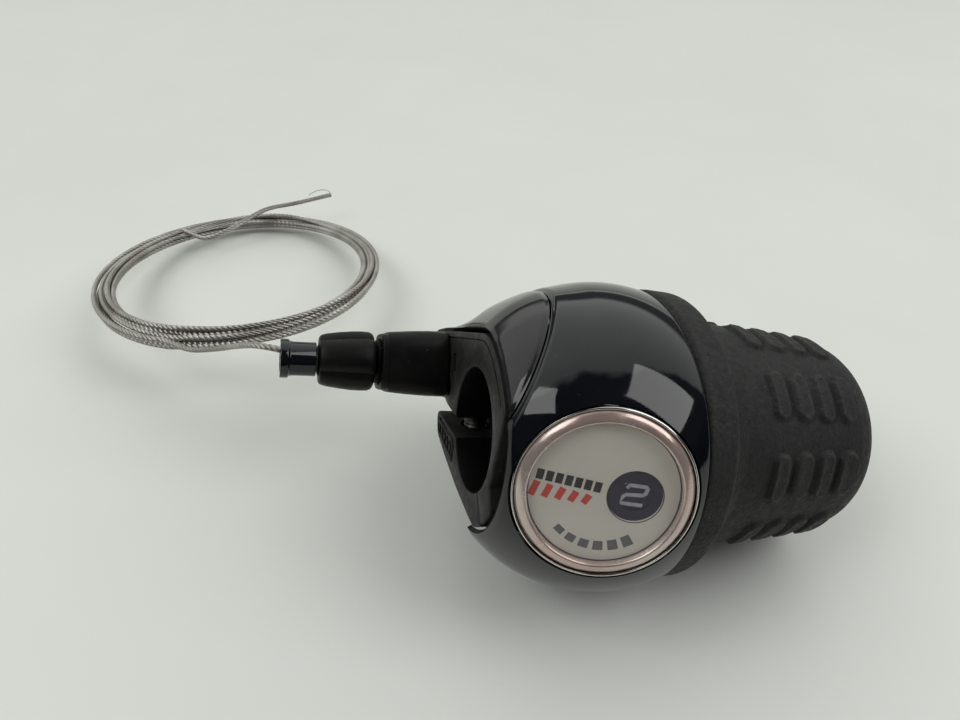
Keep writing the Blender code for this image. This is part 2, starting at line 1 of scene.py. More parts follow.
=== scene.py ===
"""Looks of the twist-grip gear shifter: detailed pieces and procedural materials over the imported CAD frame.

Lengths are in millimetres, and MM turns them into metres. The bar frame has +Z along the handlebar towards
the grip's open end and its origin at the bore's centre on the clamp's end face.
"""

import json
import math

import bmesh
import bpy
import numpy as np
from mathutils import Matrix, Vector


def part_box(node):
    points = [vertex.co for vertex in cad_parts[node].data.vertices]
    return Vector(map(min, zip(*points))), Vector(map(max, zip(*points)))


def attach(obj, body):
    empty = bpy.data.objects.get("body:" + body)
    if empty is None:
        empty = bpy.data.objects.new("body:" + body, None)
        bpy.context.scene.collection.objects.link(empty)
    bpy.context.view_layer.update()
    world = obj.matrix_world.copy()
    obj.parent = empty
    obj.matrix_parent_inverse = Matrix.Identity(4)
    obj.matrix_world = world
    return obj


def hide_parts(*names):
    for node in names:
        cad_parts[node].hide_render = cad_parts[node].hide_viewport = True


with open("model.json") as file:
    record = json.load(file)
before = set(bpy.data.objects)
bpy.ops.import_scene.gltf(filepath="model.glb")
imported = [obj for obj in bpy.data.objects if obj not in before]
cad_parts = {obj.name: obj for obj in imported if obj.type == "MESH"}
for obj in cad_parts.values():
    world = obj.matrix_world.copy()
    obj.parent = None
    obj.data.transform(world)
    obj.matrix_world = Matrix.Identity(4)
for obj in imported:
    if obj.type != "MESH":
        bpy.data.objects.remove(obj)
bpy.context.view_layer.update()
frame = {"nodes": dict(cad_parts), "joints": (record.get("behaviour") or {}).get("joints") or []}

MM = 0.001
BAR_ROLL = math.radians(45.0)
BORE_R = 11.15
BALL_Y = -0.6
BALL_Z = 22.5
BALL_R = 28.3
CREASE_START = -0.83
CREASE_SLOPE = 0.461
HOOD_REACH = 6.0
OUTLET_AT = (22.7, 11.5)
CABLE_D = 1.2
WALL_THICKNESS = 0.9
SEAM = 0.33
PLATE_DEPTH = 10.5
PLATE_EDGE = 0.35
SMOOTH_ANGLE = math.radians(35.0)

joints = {joint["name"]: joint for joint in frame["joints"]}


def frame_matrix(origin, axis, across):
    """A matrix in metres whose Z is axis, and whose X is as near to across as it can be."""
    z = Vector(axis).normalized()
    x = (Vector(across) - z * Vector(across).dot(z)).normalized()
    turn = Matrix((x, z.cross(x), z)).transposed()
    return Matrix.Translation(Vector(origin)) @ turn.to_4x4()


bar_axis = Vector(joints["grip_twist"]["axis"])
level = Vector((0.0, 1.0, 0.0))
bar_across = level * math.cos(BAR_ROLL) + level.cross(bar_axis) * math.sin(BAR_ROLL)
BAR = frame_matrix(joints["grip_twist"]["pos_m"], bar_axis, bar_across)
DISPLAY = frame_matrix(joints["indicator_turn"]["pos_m"], joints["indicator_turn"]["axis"], bar_axis)
OUTLET = frame_matrix(BAR @ Vector((OUTLET_AT[0] * MM, OUTLET_AT[1] * MM, 0.0)), -bar_axis, bar_across)
BOLT = frame_matrix(joints["bolt_turn"]["pos_m"], joints["bolt_turn"]["axis"], bar_axis)
PIVOT = frame_matrix(joints["arm_swing"]["pos_m"], bar_axis, bar_across)
TABLE = Matrix.Identity(4)


# ---------------------------------------------------------------- shapes

def polar(radius, degrees):
    turn = math.radians(degrees)
    return radius * math.cos(turn), radius * math.sin(turn)


def arc(radius, start, end, count, centre=(0.0, 0.0)):
    points = []
    for k in range(count + 1):
        x, y = polar(radius, start + (end - start) * k / count)
        points.append((x + centre[0], y + centre[1]))
    return points


def circle(radius, count=96):
    return [polar(radius, 360.0 * k / count) for k in range(count)]


def smoothstep(t):
    t = np.clip(t, 0.0, 1.0)
    return t * t * (3.0 - 2.0 * t)


def add_mesh(name, verts, faces, look, place, body, sharp=40.0):
    """A mesh piece. verts are millimetres in the frame place."""
    mesh = bpy.data.meshes.new(name)
    points = np.asarray(verts, float) * MM
    mesh.from_pydata(points.tolist(), [], faces)
    mesh.validate()
    bm = bmesh.new()
    bm.from_mesh(mesh)
    bmesh.ops.remove_doubles(bm, verts=bm.verts, dist=1e-7)
    bmesh.ops.recalc_face_normals(bm, faces=bm.faces)
    bm.to_mesh(mesh)
    bm.free()
    obj = bpy.data.objects.new(name, mesh)
    bpy.context.scene.collection.objects.link(obj)
    obj.matrix_world = place
    if look is not None:
        mesh.materials.append(look)
    mesh.shade_smooth()
    if sharp:
        mesh.set_sharp_from_angle(angle=math.radians(sharp))
    if body:
        settle(obj, body)
    return obj


def settle(obj, body):
    """Puts the piece's points in the shared frame and lets it move with a body of the CAD."""
    obj.data.transform(obj.matrix_world)
    obj.matrix_world = Matrix.Identity(4)
    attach(obj, body)


def ring_faces(count, rows, around=True, along=False):
    """Quads between rows of count points."""
    faces = []
    for i in range(rows if along else rows - 1):
        low = i * count
        high = ((i + 1) % rows) * count
        for k in range(count if around else count - 1):
            after = (k + 1) % count
            faces.append((low + k, low + after, high + after, high + k))
    return faces


def loft(name, sections, look, place, body, caps=(True, True), sharp=40.0):
    """A skin through sections (z, outline) with the same number of points."""
    verts = []
    count = len(sections[0][1])
    for z, outline in sections:
        verts += [(x, y, z) for x, y in outline]
    faces = ring_faces(count, len(sections))
    if caps[0]:
        faces.append(tuple(range(count))[::-1])
    if caps[1]:
        faces.append(tuple(range(len(verts) - count, len(verts))))
    return add_mesh(name, verts, faces, look, place, body, sharp)


def lathe(name, profile, look, place, body, steps=96, closed=True, sharp=40.0):
    """Turns a profile of (z, radius) about the frame's Z."""
    verts = []
    for z, radius in profile:
        for k in range(steps):
            x, y = polar(max(radius, 1e-4), 360.0 * k / steps)
            verts.append((x, y, z))
    faces = ring_faces(steps, len(profile), True, closed)
    return add_mesh(name, verts, faces, look, place, body, sharp)


def rounded(profile, radius, steps=4):
    """The closed profile with each corner replaced by a small arc-like curve."""
    points = []
    count = len(profile)
    for k in range(count):
        here = np.array(profile[k], float)
        before = np.array(profile[k - 1], float) - here
        after = np.array(profile[(k + 1) % count], float) - here
        reach = min(radius, 0.45 * np.linalg.norm(before), 0.45 * np.linalg.norm(after))
        a = here + before / max(np.linalg.norm(before), 1e-9) * reach
        b = here + after / max(np.linalg.norm(after), 1e-9) * reach
        for j in range(steps + 1):
            t = j / steps
            points.append(tuple(a * (1 - t) ** 2 + 2 * here * t * (1 - t) + b * t * t))
    return points


GROWN_PASSES = 60


def grown(outline, distance):
    """The outline, drawn anticlockwise, moved outwards by distance.

    Stretches that would turn over shrink to points.
    """
    start = np.array(outline, float)
    ahead = np.roll(start, -1, axis=0) - start
    length = np.maximum(np.linalg.norm(ahead, axis=1), 1e-9)[:, None]
    side = np.stack([ahead[:, 1], -ahead[:, 0]], axis=1) / length
    normal = side + np.roll(side, 1, axis=0)
    reach = 2.0 / np.maximum((normal**2).sum(axis=1), 1.2)
    moved = start + normal * distance * reach[:, None]
    for _ in range(GROWN_PASSES):
        stretch = np.roll(moved, -1, axis=0) - moved
        turned_over = np.nonzero((stretch * ahead).sum(axis=1) < -1e-9)[0]
        if len(turned_over) == 0:
            break
        for k in turned_over:
            after = (k + 1) % len(moved)
            moved[k] = moved[after] = (moved[k] + moved[after]) / 2
    return [tuple(point) for point in moved]


def spline(knots, per=8, closed=False):
    """Catmull-Rom points through the knots."""
    knots = [np.array(knot, float) for knot in knots]
    if closed:
        ends = [knots[-1], *knots, knots[0], knots[1]]
    else:
        ends = [2 * knots[0] - knots[1], *knots, 2 * knots[-1] - knots[-2]]
    points = []
    for a, b, c, d in zip(ends, ends[1:], ends[2:], ends[3:]):
        for k in range(per):
            t = k / per
            bend = 2 * a - 5 * b + 4 * c - d
            twist = 3 * b - 3 * c + d - a
            points.append((2 * b + (c - a) * t + bend * t**2 + twist * t**3) / 2)
    if not closed:
        points.append(knots[-1])
    return np.array(points)


def resample(points, spacing):
    points = np.asarray(points, float)
    steps = np.linalg.norm(np.diff(points, axis=0), axis=1)
    travelled = np.concatenate([[0.0], np.cumsum(steps)])
    count = max(2, int(round(travelled[-1] / spacing)))
    goals = np.linspace(0.0, travelled[-1], count + 1)
    return np.stack([np.interp(goals, travelled, points[:, i]) for i in range(3)], axis=1), travelled[-1]


def superellipse(half_x, half_y, count=96, power=4.0):
    points = []
    for k in range(count):
        turn = 2 * math.pi * k / count
        c = math.cos(turn)
        s = math.sin(turn)
        size = 1.0 / ((abs(c) / half_x) ** power + (abs(s) / half_y) ** power) ** (1 / power)
        points.append((size * c, size * s))
    return points


def bake_modifiers(obj):
    """Gives the piece the mesh that its modifiers make."""
    bpy.context.view_layer.update()
    graph = bpy.context.evaluated_depsgraph_get()
    mesh = bpy.data.meshes.new_from_object(obj.evaluated_get(graph))
    obj.modifiers.clear()
    obj.data = mesh


def cut(obj, tool, solver="MANIFOLD"):
    """Takes the tool away from the piece."""
    change = obj.modifiers.new("cut", "BOOLEAN")
    change.operation = "DIFFERENCE"
    change.solver = solver
    change.object = tool
    bake_modifiers(obj)
    bpy.data.objects.remove(tool)


def darken(obj, test):
    """Gives the look of shadowed plastic to faces whose middle and normal pass a test, in the bar frame."""
    obj.data.materials.append(looks["black_and_shade"])
    index = len(obj.data.materials) - 1
    turn = BAR.inverted() @ obj.matrix_world
    rotation = turn.to_3x3()
    for face in obj.data.polygons:
        if test((turn @ face.center) / MM, rotation @ face.normal):
            face.material_index = index


def in_bore(middle, normal):
    radius = math.hypot(middle.x, middle.y)
    return radius < BORE_R + 0.3 and normal.x * middle.x + normal.y * middle.y < -0.6 * radius


def on_inside(middle, normal):
    """The casing's inner wall and its end face."""
    inwards = normal.x * middle.x + normal.y * middle.y < -0.15 * math.hypot(middle.x, middle.y)
    return inwards or (normal.z < -0.75 and middle.z < CASE_START + 0.15)


# ---------------------------------------------------------------- materials

class Look:
    """A Principled material and short calls for its nodes."""

    def __init__(self, name, colour, roughness, metallic=0.0):
        self.mat = bpy.data.materials.new(name)
        self.mat.use_nodes = True
        self.tree = self.mat.node_tree
        self.shader = self.tree.nodes["Principled BSDF"]
        self.set("Base Color", (*colour, 1.0))
        self.set("Roughness", roughness)
        self.set("Metallic", metallic)
        self.coords = self.tree.nodes.new("ShaderNodeTexCoord").outputs["Object"]

    def set(self, socket, value):
        self.shader.inputs[socket].default_value = value

    def link(self, out, into):
        self.tree.links.new(out, into)

    def node(self, kind, **values):
        made = self.tree.nodes.new(kind)
        for key, value in values.items():
            setattr(made, key, value)
        return made

    def noise(self, scale, detail=3.0, roughness=0.55, squeeze=None):
        made = self.node("ShaderNodeTexNoise")
        made.inputs["Scale"].default_value = scale
        made.inputs["Detail"].default_value = detail
        made.inputs["Roughness"].default_value = roughness
        source = self.coords
        if squeeze:
            mapping = self.node("ShaderNodeMapping")
            mapping.inputs["Scale"].default_value = squeeze
            self.link(source, mapping.inputs["Vector"])
            source = mapping.outputs["Vector"]
        self.link(source, made.inputs["Vector"])
        return made.outputs["Fac"]

    def cells(self, scale):
        made = self.node("ShaderNodeTexVoronoi")
        made.inputs["Scale"].default_value = scale
        self.link(self.coords, made.inputs["Vector"])
        return made.outputs["Distance"]

    def ramp(self, value, *stops):
        made = self.node("ShaderNodeValToRGB")
        elements = made.color_ramp.elements
        while len(elements) < len(stops):
            elements.new(0.5)
        for element, (position, level_value) in zip(elements, stops):
            element.position = position
            shade = level_value if hasattr(level_value, "__len__") else (level_value,) * 3
            element.color = (*shade, 1.0)
        self.link(value, made.inputs["Fac"])
        return made.outputs["Color"]

    def mix(self, factor, a, b):
        made = self.node("ShaderNodeMix", data_type="RGBA")
        self.link(factor, made.inputs["Factor"])
        for index, value in ((6, a), (7, b)):
            if hasattr(value, "links"):
                self.link(value, made.inputs[index])
            else:
                made.inputs[index].default_value = (*value, 1.0)
        return made.outputs[2]

    def pointiness(self):
        return self.node("ShaderNodeNewGeometry").outputs["Pointiness"]

    def bump(self, height, distance, strength=1.0, after=None):
        made = self.node("ShaderNodeBump")
        made.inputs["Distance"].default_value = distance
        made.inputs["Strength"].default_value = strength
        self.link(height, made.inputs["Height"])
        if after is not None:
            self.link(after, made.inputs["Normal"])
        return made.outputs["Normal"]

    def finish(self, colour=None, roughness=None, normal=None):
        if colour is not None:
            self.link(colour, self.shader.inputs["Base Color"])
        if roughness is not None:
            self.link(roughness, self.shader.inputs["Roughness"])
        if normal is not None:
            self.link(normal, self.shader.inputs["Normal"])
        return self.mat


def dust(look, base, amount=0.5, scale=900.0, colour=(0.42, 0.41, 0.38)):
    """Base colour with rare pale specks of dust."""
    speck = look.ramp(look.noise(scale, 2.0, 0.6), (0.74, 0.0), (0.79, amount))
    return look.mix(speck, base, colour)


def gloss_black():
    look = Look("gloss_black", (0.005, 0.0055, 0.008), 0.05)
    look.set("IOR", 1.5)
    tone = look.ramp(look.noise(60.0, 3.0), (0.35, (0.004, 0.0045, 0.007)), (0.7, (0.007, 0.0075, 0.010)))
    haze = look.ramp(look.noise(220.0, 4.0), (0.35, 0.035), (0.75, 0.075))
    scratch = look.noise(90.0, 2.0, 0.5, (1.0, 26.0, 5.0))
    normal = look.bump(look.ramp(scratch, (0.47, 0.0), (0.53, 1.0)), 0.0000015, 0.25)
    return look.finish(dust(look, tone, 0.25, 2100.0), haze, normal)


def satin_black():
    look = Look("satin_black", (0.012, 0.012, 0.013), 0.12)
    tone = look.ramp(look.noise(70.0, 3.0), (0.35, (0.010, 0.010, 0.011)), (0.7, (0.016, 0.016, 0.017)))
    haze = look.ramp(look.noise(260.0, 4.0), (0.35, 0.09), (0.75, 0.17))
    normal = look.bump(look.noise(1500.0, 2.0), 0.000004, 0.25)
    return look.finish(dust(look, tone, 0.25, 2000.0), haze, normal)


def matte_black(name="matte_black", shade=0.012, grain=2600.0, depth=0.00002, low=0.42, high=0.62, shine=0.3):
    look = Look(name, (shade,) * 3, 0.5)
    look.set("Specular IOR Level", shine)
    worn = (shade * 1.5, shade * 1.48, shade * 1.4)
    tone = look.ramp(look.noise(130.0, 4.0), (0.3, (shade * 0.8,) * 3), (0.75, worn))
    rough = look.ramp(look.noise(500.0, 3.0), (0.3, low), (0.7, high))
    fine = look.noise(grain, 3.0, 0.6)
    normal = look.bump(fine, depth, 0.6)
    return look.finish(dust(look, tone, 0.35, 1500.0), rough, normal)


def rubber_black():
    """Stippled rubber: close small bumps, a greyed bloom, pale specks of dust, paler convex edges and concave corners
    darkened as painted shade.
    """
    look = Look("grip_rubber", (0.02, 0.02, 0.02), 0.7)
    look.set("Specular IOR Level", 0.32)
    greyed = (0.021, 0.0212, 0.0208)
    bloom = look.ramp(look.noise(55.0, 5.0, 0.6), (0.3, (0.012, 0.0125, 0.0125)), (0.75, greyed))
    cells = look.cells(1500.0)
    stipple = look.ramp(cells, (0.0, 1.0), (0.75, 0.0))
    grain = look.noise(4200.0, 2.0, 0.5)
    normal = look.bump(stipple, 0.00009, 0.75)
    normal = look.bump(grain, 0.00003, 0.5, normal)
    tops = look.mix(look.ramp(cells, (0.12, 0.35), (0.55, 0.0)), bloom, (0.034, 0.034, 0.033))
    specks = look.ramp(look.noise(2300.0, 2.0, 0.5), (0.72, 0.0), (0.77, 0.45))
    colour = look.mix(specks, tops, (0.20, 0.195, 0.185))
    point = look.pointiness()
    colour = look.mix(look.ramp(point, (0.51, 0.0), (0.56, 0.6)), colour, (0.060, 0.060, 0.057))
    # Painted shade: the concave corners between bumps and ribs are darkened to near black.
    colour = look.mix(look.ramp(point, (0.44, 0.85), (0.49, 0.0)), colour, (0.002, 0.002, 0.002))
    rough = look.ramp(look.noise(800.0, 3.0), (0.3, 0.56), (0.7, 0.78))
    return look.finish(colour, rough, normal)


def metal(name, colour, low, high, scale=900.0, squeeze=(1.0, 1.0, 8.0)):
    look = Look(name, colour, (low + high) / 2, 1.0)
    tone = look.ramp(look.noise(300.0, 3.0), (0.3, tuple(c * 0.82 for c in colour)), (0.7, colour))
    rough = look.ramp(look.noise(scale, 3.0, 0.6, squeeze), (0.3, low), (0.7, high))
    normal = look.bump(look.noise(scale * 2, 2.0, 0.5, squeeze), 0.000004, 0.4)
    return look.finish(tone, rough, normal)


def cable_steel():
    """Drawn stainless wire with grease and shadow between its wires."""
    look = Look("cable_steel", (0.40, 0.385, 0.36), 0.4, 1.0)
    tone = look.ramp(look.noise(160.0, 3.0, 0.5), (0.30, (0.30, 0.285, 0.26)), (0.65, (0.46, 0.445, 0.42)))
    point = look.pointiness()
    tone = look.mix(look.ramp(point, (0.40, 0.9), (0.50, 0.0)), tone, (0.035, 0.032, 0.028))
    rough = look.ramp(look.noise(900.0, 2.0), (0.3, 0.34), (0.7, 0.48))
    normal = look.bump(look.noise(4200.0, 2.0), 0.000003, 0.3)
    return look.finish(tone, rough, normal)


def moulded(name, colour, rough=0.42):
    look = Look(name, colour, rough)
    tone = look.ramp(look.noise(160.0, 3.0), (0.3, tuple(c * 0.9 for c in colour)), (0.7, colour))
    normal = look.bump(look.noise(1800.0, 2.0), 0.000008, 0.5)
    haze = look.ramp(look.noise(420.0, 3.0), (0.3, rough - 0.06), (0.7, rough + 0.08))
    return look.finish(tone, haze, normal)


looks = {
    "gloss": gloss_black(),
    "satin": satin_black(),
    "matte": matte_black(),
    "knob": matte_black("knob_black", 0.006, 3200.0, 0.000012, 0.34, 0.5, 0.16),
    # Near-black and duller than the matte plastic: partly the black of small parts, seams and pad marks, partly
    # painted shade in the bore, on the casing's inner wall and on the hidden inner parts.
    "black_and_shade": matte_black("black_and_shade", 0.002, 1800.0, 0.000010, 0.4, 0.6, 0.10),
    "rubber": rubber_black(),
    "cable": cable_steel(),
    "steel": metal("bright_steel", (0.60, 0.58, 0.55), 0.18, 0.34),
    # Painted shade: the clamp bolt's steel made darker for its thread, which sits in shade inside the bore.
    "shaded_steel": metal("shaded_steel", (0.16, 0.157, 0.15), 0.34, 0.5),
    "zinc": metal("zinc_plate", (0.62, 0.62, 0.60), 0.28, 0.45),
    "silver": metal("silver_trim", (0.80, 0.78, 0.75), 0.08, 0.18),
    "grey": moulded("grey_acetal", (0.30, 0.30, 0.29)),
    "white": moulded("white_acetal", (0.72, 0.71, 0.68)),
}


def rosy_bevel():
    """The lens's bevelled rim: clear plastic over a coppery ring."""
    look = Look("lens_rim", (0.62, 0.46, 0.40), 0.22, 0.55)
    patches = look.noise(45.0, 3.0, 0.5)
    pale = (0.66, 0.60, 0.56)
    tone = look.ramp(patches, (0.30, (0.40, 0.29, 0.25)), (0.5, (0.60, 0.46, 0.41)), (0.72, pale))
    look.set("Coat Weight", 1.0)
    look.set("Coat Roughness", 0.04)
    rough = look.ramp(look.noise(600.0, 3.0), (0.3, 0.16), (0.7, 0.30))
    return look.finish(tone, rough)


def cream_print():
    """Printed face under the lens's clear coat."""
    look = Look("dial_print", (0.62, 0.585, 0.52), 0.5)
    tone = look.ramp(look.noise(70.0, 3.0), (0.3, (0.60, 0.565, 0.50)), (0.7, (0.66, 0.62, 0.555)))
    look.set("Coat Weight", 1.0)
    look.set("Coat Roughness", 0.05)
    normal = look.bump(look.noise(2600.0, 2.0), 0.000003, 0.3)
    rough = look.ramp(look.noise(500.0), (0.3, 0.42), (0.7, 0.55))
    return look.finish(dust(look, tone, 0.3, 1500.0, (0.35, 0.33, 0.30)), rough, normal)


def clear_lens():
    look = Look("clear_lens", (0.95, 0.94, 0.92), 0.03)
    look.set("Alpha", 0.05)
    look.set("Coat Weight", 1.0)
    look.set("Coat Roughness", 0.02)
    rough = look.ramp(look.noise(700.0, 3.0), (0.3, 0.02), (0.7, 0.06))
    look.mat.surface_render_method = "BLENDED"
    return look.finish(None, rough)


def ink(name, colour, rough=0.4):
    look = Look(name, colour, rough)
    tone = look.ramp(look.noise(300.0, 3.0), (0.3, tuple(c * 0.85 for c in colour)), (0.7, colour))
    look.set("Coat Weight", 0.8)
    look.set("Coat Roughness", 0.05)
    return look.finish(tone, look.ramp(look.noise(900.0), (0.3, rough - 0.08), (0.7, rough + 0.08)))


looks["rim"] = rosy_bevel()
looks["print"] = cream_print()
looks["clear"] = clear_lens()
looks["aubergine"] = ink("aubergine_disc", (0.022, 0.015, 0.045), 0.35)
looks["numeral"] = ink("silver_numeral", (0.42, 0.42, 0.44), 0.3)
# Black print ink, also used for the painted shadow rings at the lens rim and the window's edge.
looks["ink_and_shade_black"] = ink("ink_and_shade_black", (0.012, 0.012, 0.014))
looks["ink_red"] = ink("ink_red", (0.62, 0.055, 0.030))
looks["ink_grey"] = ink("ink_grey", (0.10, 0.10, 0.11))


def paint(node, look):
    obj = frame["nodes"][node]
    obj.data.materials.clear()
    obj.data.materials.append(looks[look])


PAINTED = {
    "aubergine": ("indicator_disc",),
    "cable": ("inner_cable",),
    "grey": ("cable_drum", "detent_plate"),
    # The hidden inner parts are near-black as painted shade.
    "black_and_shade": ("adjuster_washer", "dial_base", "grip_core", "mandrel"),
    "steel": ("adjuster_spring", "cable_nipple", "detent_spring", "retaining_ring", "wave_washer"),
    "white": ("indicator_gear", "sector_gear"),
    "zinc": ("clamp_nut", "clamp_washer", "housing_screw_1", "housing_screw_2"),
}
for look, nodes in PAINTED.items():
    for node in nodes:
        paint(node, look)


# ---------------------------------------------------------------- camera

CAMERA_AT = (-122.94, 10.93, -37.4)
CAMERA_WAY = (0.95439, 0.01129, 0.29836)
CAMERA_UP = (0.0, 0.99928, -0.03781)
FOCAL_PIXELS = 721.0
IMAGE_WIDTH = 960.0
SENSOR = 36.0


def add_camera():
    data = bpy.data.cameras.new("camera")
    data.sensor_width = SENSOR
    data.lens = FOCAL_PIXELS / IMAGE_WIDTH * SENSOR
    data.clip_start = 0.005
    camera = bpy.data.objects.new("camera", data)
    bpy.context.scene.collection.objects.link(camera)
    turn = BAR.to_3x3()
    back = -(turn @ Vector(CAMERA_WAY)).normalized()
    up = turn @ Vector(CAMERA_UP)
    up = (up - back * up.dot(back)).normalized()
    facing = Matrix((up.cross(back), up, back)).transposed().to_4x4()
    camera.matrix_world = Matrix.Translation(BAR @ (Vector(CAMERA_AT) * MM)) @ facing
    bpy.context.scene.camera = camera


add_camera()


# ---------------------------------------------------------------- inner cable

LEAD = [
    (-54.0, 22.3, 34.0),
    (-56.7, 23.6, 34.0),
    (-60.1, 26.2, 32.5),
    (-64.1, 29.7, 29.4),
    (-69.5, 34.1, 25.2),
    (-75.9, 39.3, 21.0),
]
TAIL = [
    (-81.1, 103.5, 4.9),
    (-76.0, 104.2, 5.8),
    (-70.3, 106.9, 6.9),
    (-65.7, 110.1, 7.6),
    (-61.5, 112.3, 7.8),
    (-54.7, 113.3, 8.0),
    (-48.3, 114.4, 8.4),
    (-43.3, 115.2, 8.8),
]
# The cut end's loose wire, from the cable's end.
STRAY_BENDS = [(0.1, 0.1, 0.1), (-1.0, 0.4, 1.4), (-3.4, 0.4, 1.7), (-5.8, 0.2, 1.0), (-6.6, 0.1, 0.35)]
# Where each turn lies in the coil's section: outwards from the mean radius, and upwards.
SLOTS = [
    (1.8, 1.25), (1.75, -0.6), (0.6, -0.65), (-0.6, -0.6), (-1.8, -0.55),
    (-1.75, 0.65), (-0.55, 0.6), (0.65, 0.6), (-0.9, 1.75), (-3.4, 0.3),
]
COIL_MEAN_R = 34.2
COIL_RAISED_SIDE = -94.0
COIL_TILT = 12.2
COIL_START = -17.0
COIL_TRAVEL = 3005.0
COIL_STEP = 5.0
CROSSING_START = 0.55
LEAD_SPREAD = 1.9
LEAD_FADE = 0.12
LOOSE_TURN = 6.45
LOOSE_OUT = 2.9
LOOSE_UP = 1.7
STRAND_R = CABLE_D / 2 + 0.06
GROOVE = 0.82


def coil_points():
    """The coil's centreline: tilted turns that swap places, with one turn that stands loose."""
    low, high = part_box("cable_coil")
    middle = (low + high) / 2 / MM
    tilt = math.radians(COIL_TILT)
    raised = np.array((*polar(math.cos(tilt), COIL_RAISED_SIDE), math.sin(tilt)))
    across = np.array((*polar(1.0, COIL_RAISED_SIDE + 90.0), 0.0))
    upward = np.cross(raised, across)
    centre = np.array((middle.x, middle.y, middle.z))
    points = []
    for k in range(int(COIL_TRAVEL / COIL_STEP) + 1):
        travelled = COIL_STEP * k
        turn = travelled / 360.0
        angle = math.radians(COIL_START - travelled)
        slot = int(turn)
        share = float(smoothstep((turn - slot - CROSSING_START) / (1.0 - CROSSING_START)))
        here = np.array(SLOTS[slot])
        after = np.array(SLOTS[min(slot + 1, len(SLOTS) - 1)])
        offset = here * (1 - share) + after * share
        offset[0] += 0.30 * math.sin(2 * angle + 1.7 * slot) + 0.22 * math.sin(3 * angle + 2.9 * turn)
        offset[1] += 0.18 * math.sin(2 * angle + 2.3 * slot + 1.0)
        offset *= 1.0 + 0.22 * math.cos(angle)
        offset[0] += LEAD_SPREAD * math.exp(-((turn / LEAD_FADE) ** 2))
        away = (turn - LOOSE_TURN) * 360.0
        offset[0] += LOOSE_OUT * math.exp(-((away + 14.0) / 17.0) ** 2)
        offset[1] += LOOSE_UP * math.exp(-((away - 12.0) / 20.0) ** 2)
        radius = COIL_MEAN_R + offset[0]
        flat = raised * math.cos(angle) + across * math.sin(angle)
        points.append(centre + flat * radius + upward * offset[1])
    return points


def strand(name, path, look, body, radius=STRAND_R, wires=7, lay=9.0):
    """A twisted strand: its section has one lobe for each outer wire and turns along the path."""
    path = np.asarray(path)
    ahead = np.gradient(path, axis=0)
    ahead /= np.linalg.norm(ahead, axis=1)[:, None]
    steps = np.linalg.norm(np.diff(path, axis=0), axis=1)
    travelled = np.concatenate([[0.0], np.cumsum(steps)])
    side = np.cross(ahead[0], (0.0, 0.0, 1.0))
    side /= np.linalg.norm(side)
    reach = radius * np.array([GROOVE, 1.0, GROOVE] * wires)
    count = len(reach)
    verts = np.zeros((len(path), count, 3))
    angles = np.arange(count) / count * 2 * math.pi
    for k, point in enumerate(path):
        side = side - ahead[k] * np.dot(side, ahead[k])
        side /= np.linalg.norm(side)
        other = np.cross(ahead[k], side)
        turned = angles + travelled[k] / lay * 2 * math.pi
        sideways = (np.cos(turned) * reach)[:, None] * side
        verts[k] = point + sideways + (np.sin(turned) * reach)[:, None] * other
    faces = ring_faces(count, len(path))
    faces.append(tuple(range(count))[::-1])
    faces.append(tuple(range((len(path) - 1) * count, len(path) * count)))
    return add_mesh(name, verts.reshape(-1, 3), faces, look, TABLE, body, 75.0)


def add_cable():
    knots = LEAD + [tuple(p) for p in coil_points()] + TAIL
    dense = spline(knots, 6)
    path, length = resample(dense, 0.62)
    cable = strand("inner_wire", path, looks["cable"], "housing")
    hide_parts("cable_lead", "cable_coil", "cable_tail")
    end = np.array(TAIL[-1])
    loop = [end + bend for bend in STRAY_BENDS]
    stray_path, _ = resample(spline(loop, 8), 0.25)
    stray = strand("stray_wire", stray_path, looks["cable"], "housing", 0.11, 3, 400.0)


add_cable()


# ---------------------------------------------------------------- casing

EAR = [(18.5, 3.5), (20.2, 4.6), (29.2, 4.8), (29.8, 5.6), (29.8, 17.6), (29.0, 18.4)]
TOP = [(21.7, 18.4), (8.0, 17.7), (-4.2, 17.0), (-7.0, 16.2), (-9.6, 14.5), (-12.6, 11.4)]
SIDE = [(-14.9, 8.2), (-16.5, 5.2), (-16.9, 3.4), (-15.0, -0.4), (-13.5, -3.2)]
WALL = arc(13.4, 197.0, 219.0, 4) + arc(17.0, 227.0, 247.0, 5)
ARM_ROOM = (-84.3, 14.0)
ARM_ROOM_DEPTH = 11.4
CASE_START = 0.3
CASE_END = 29.9
END_LEAN_X = 0.0318
END_LEAN_Y = 0.0455
CREASE_FACING = 0.908
SWELL_REACH = 16.0
SCREW_ANGLES = (-20.0, 62.0)
SCREW_HEIGHT = 17.0
SCREW_SEAT_R = 27.2
LIP = np.array([0.0, 0.10, 0.24, 0.42, 0.66, 0.95, 1.35])


def rim_table():
    """The casing's radius round the end plate, for every half degree."""
    outline = EAR + TOP + SIDE[:3] + arc(17.0, 176.0, 276.0, 20)
    count = 720
    radii = np.zeros(count)
    for k in range(count):
        way = np.array(polar(1.0, k * 360.0 / count))
        for a, b in zip(outline, outline[1:] + outline[:1]):
            a = np.array(a)
            edge = np.array(b) - a
            across = way[0] * edge[1] - way[1] * edge[0]
            if abs(across) < 1e-9:
                continue
            far = (a[0] * edge[1] - a[1] * edge[0]) / across
            share = (a[0] * way[1] - a[1] * way[0]) / across
            if far > 0 and -1e-6 <= share <= 1 + 1e-6:
                radii[k] = max(radii[k], far)
    weights = np.exp(-0.5 * (np.arange(-12, 13) / 3.0) ** 2)
    weights /= weights.sum()
    padded = np.concatenate([radii[-12:], radii, radii[:12]])
    return np.convolve(padded, weights, "valid") + 1.3


RIM = rim_table()


def ball_radius(theta, z):
    reach = np.sqrt(np.maximum(BALL_R**2 - (z - BALL_Z) ** 2, 1.0))
    return BALL_Y * np.sin(theta) + np.sqrt(reach**2 - (BALL_Y * np.cos(theta)) ** 2)


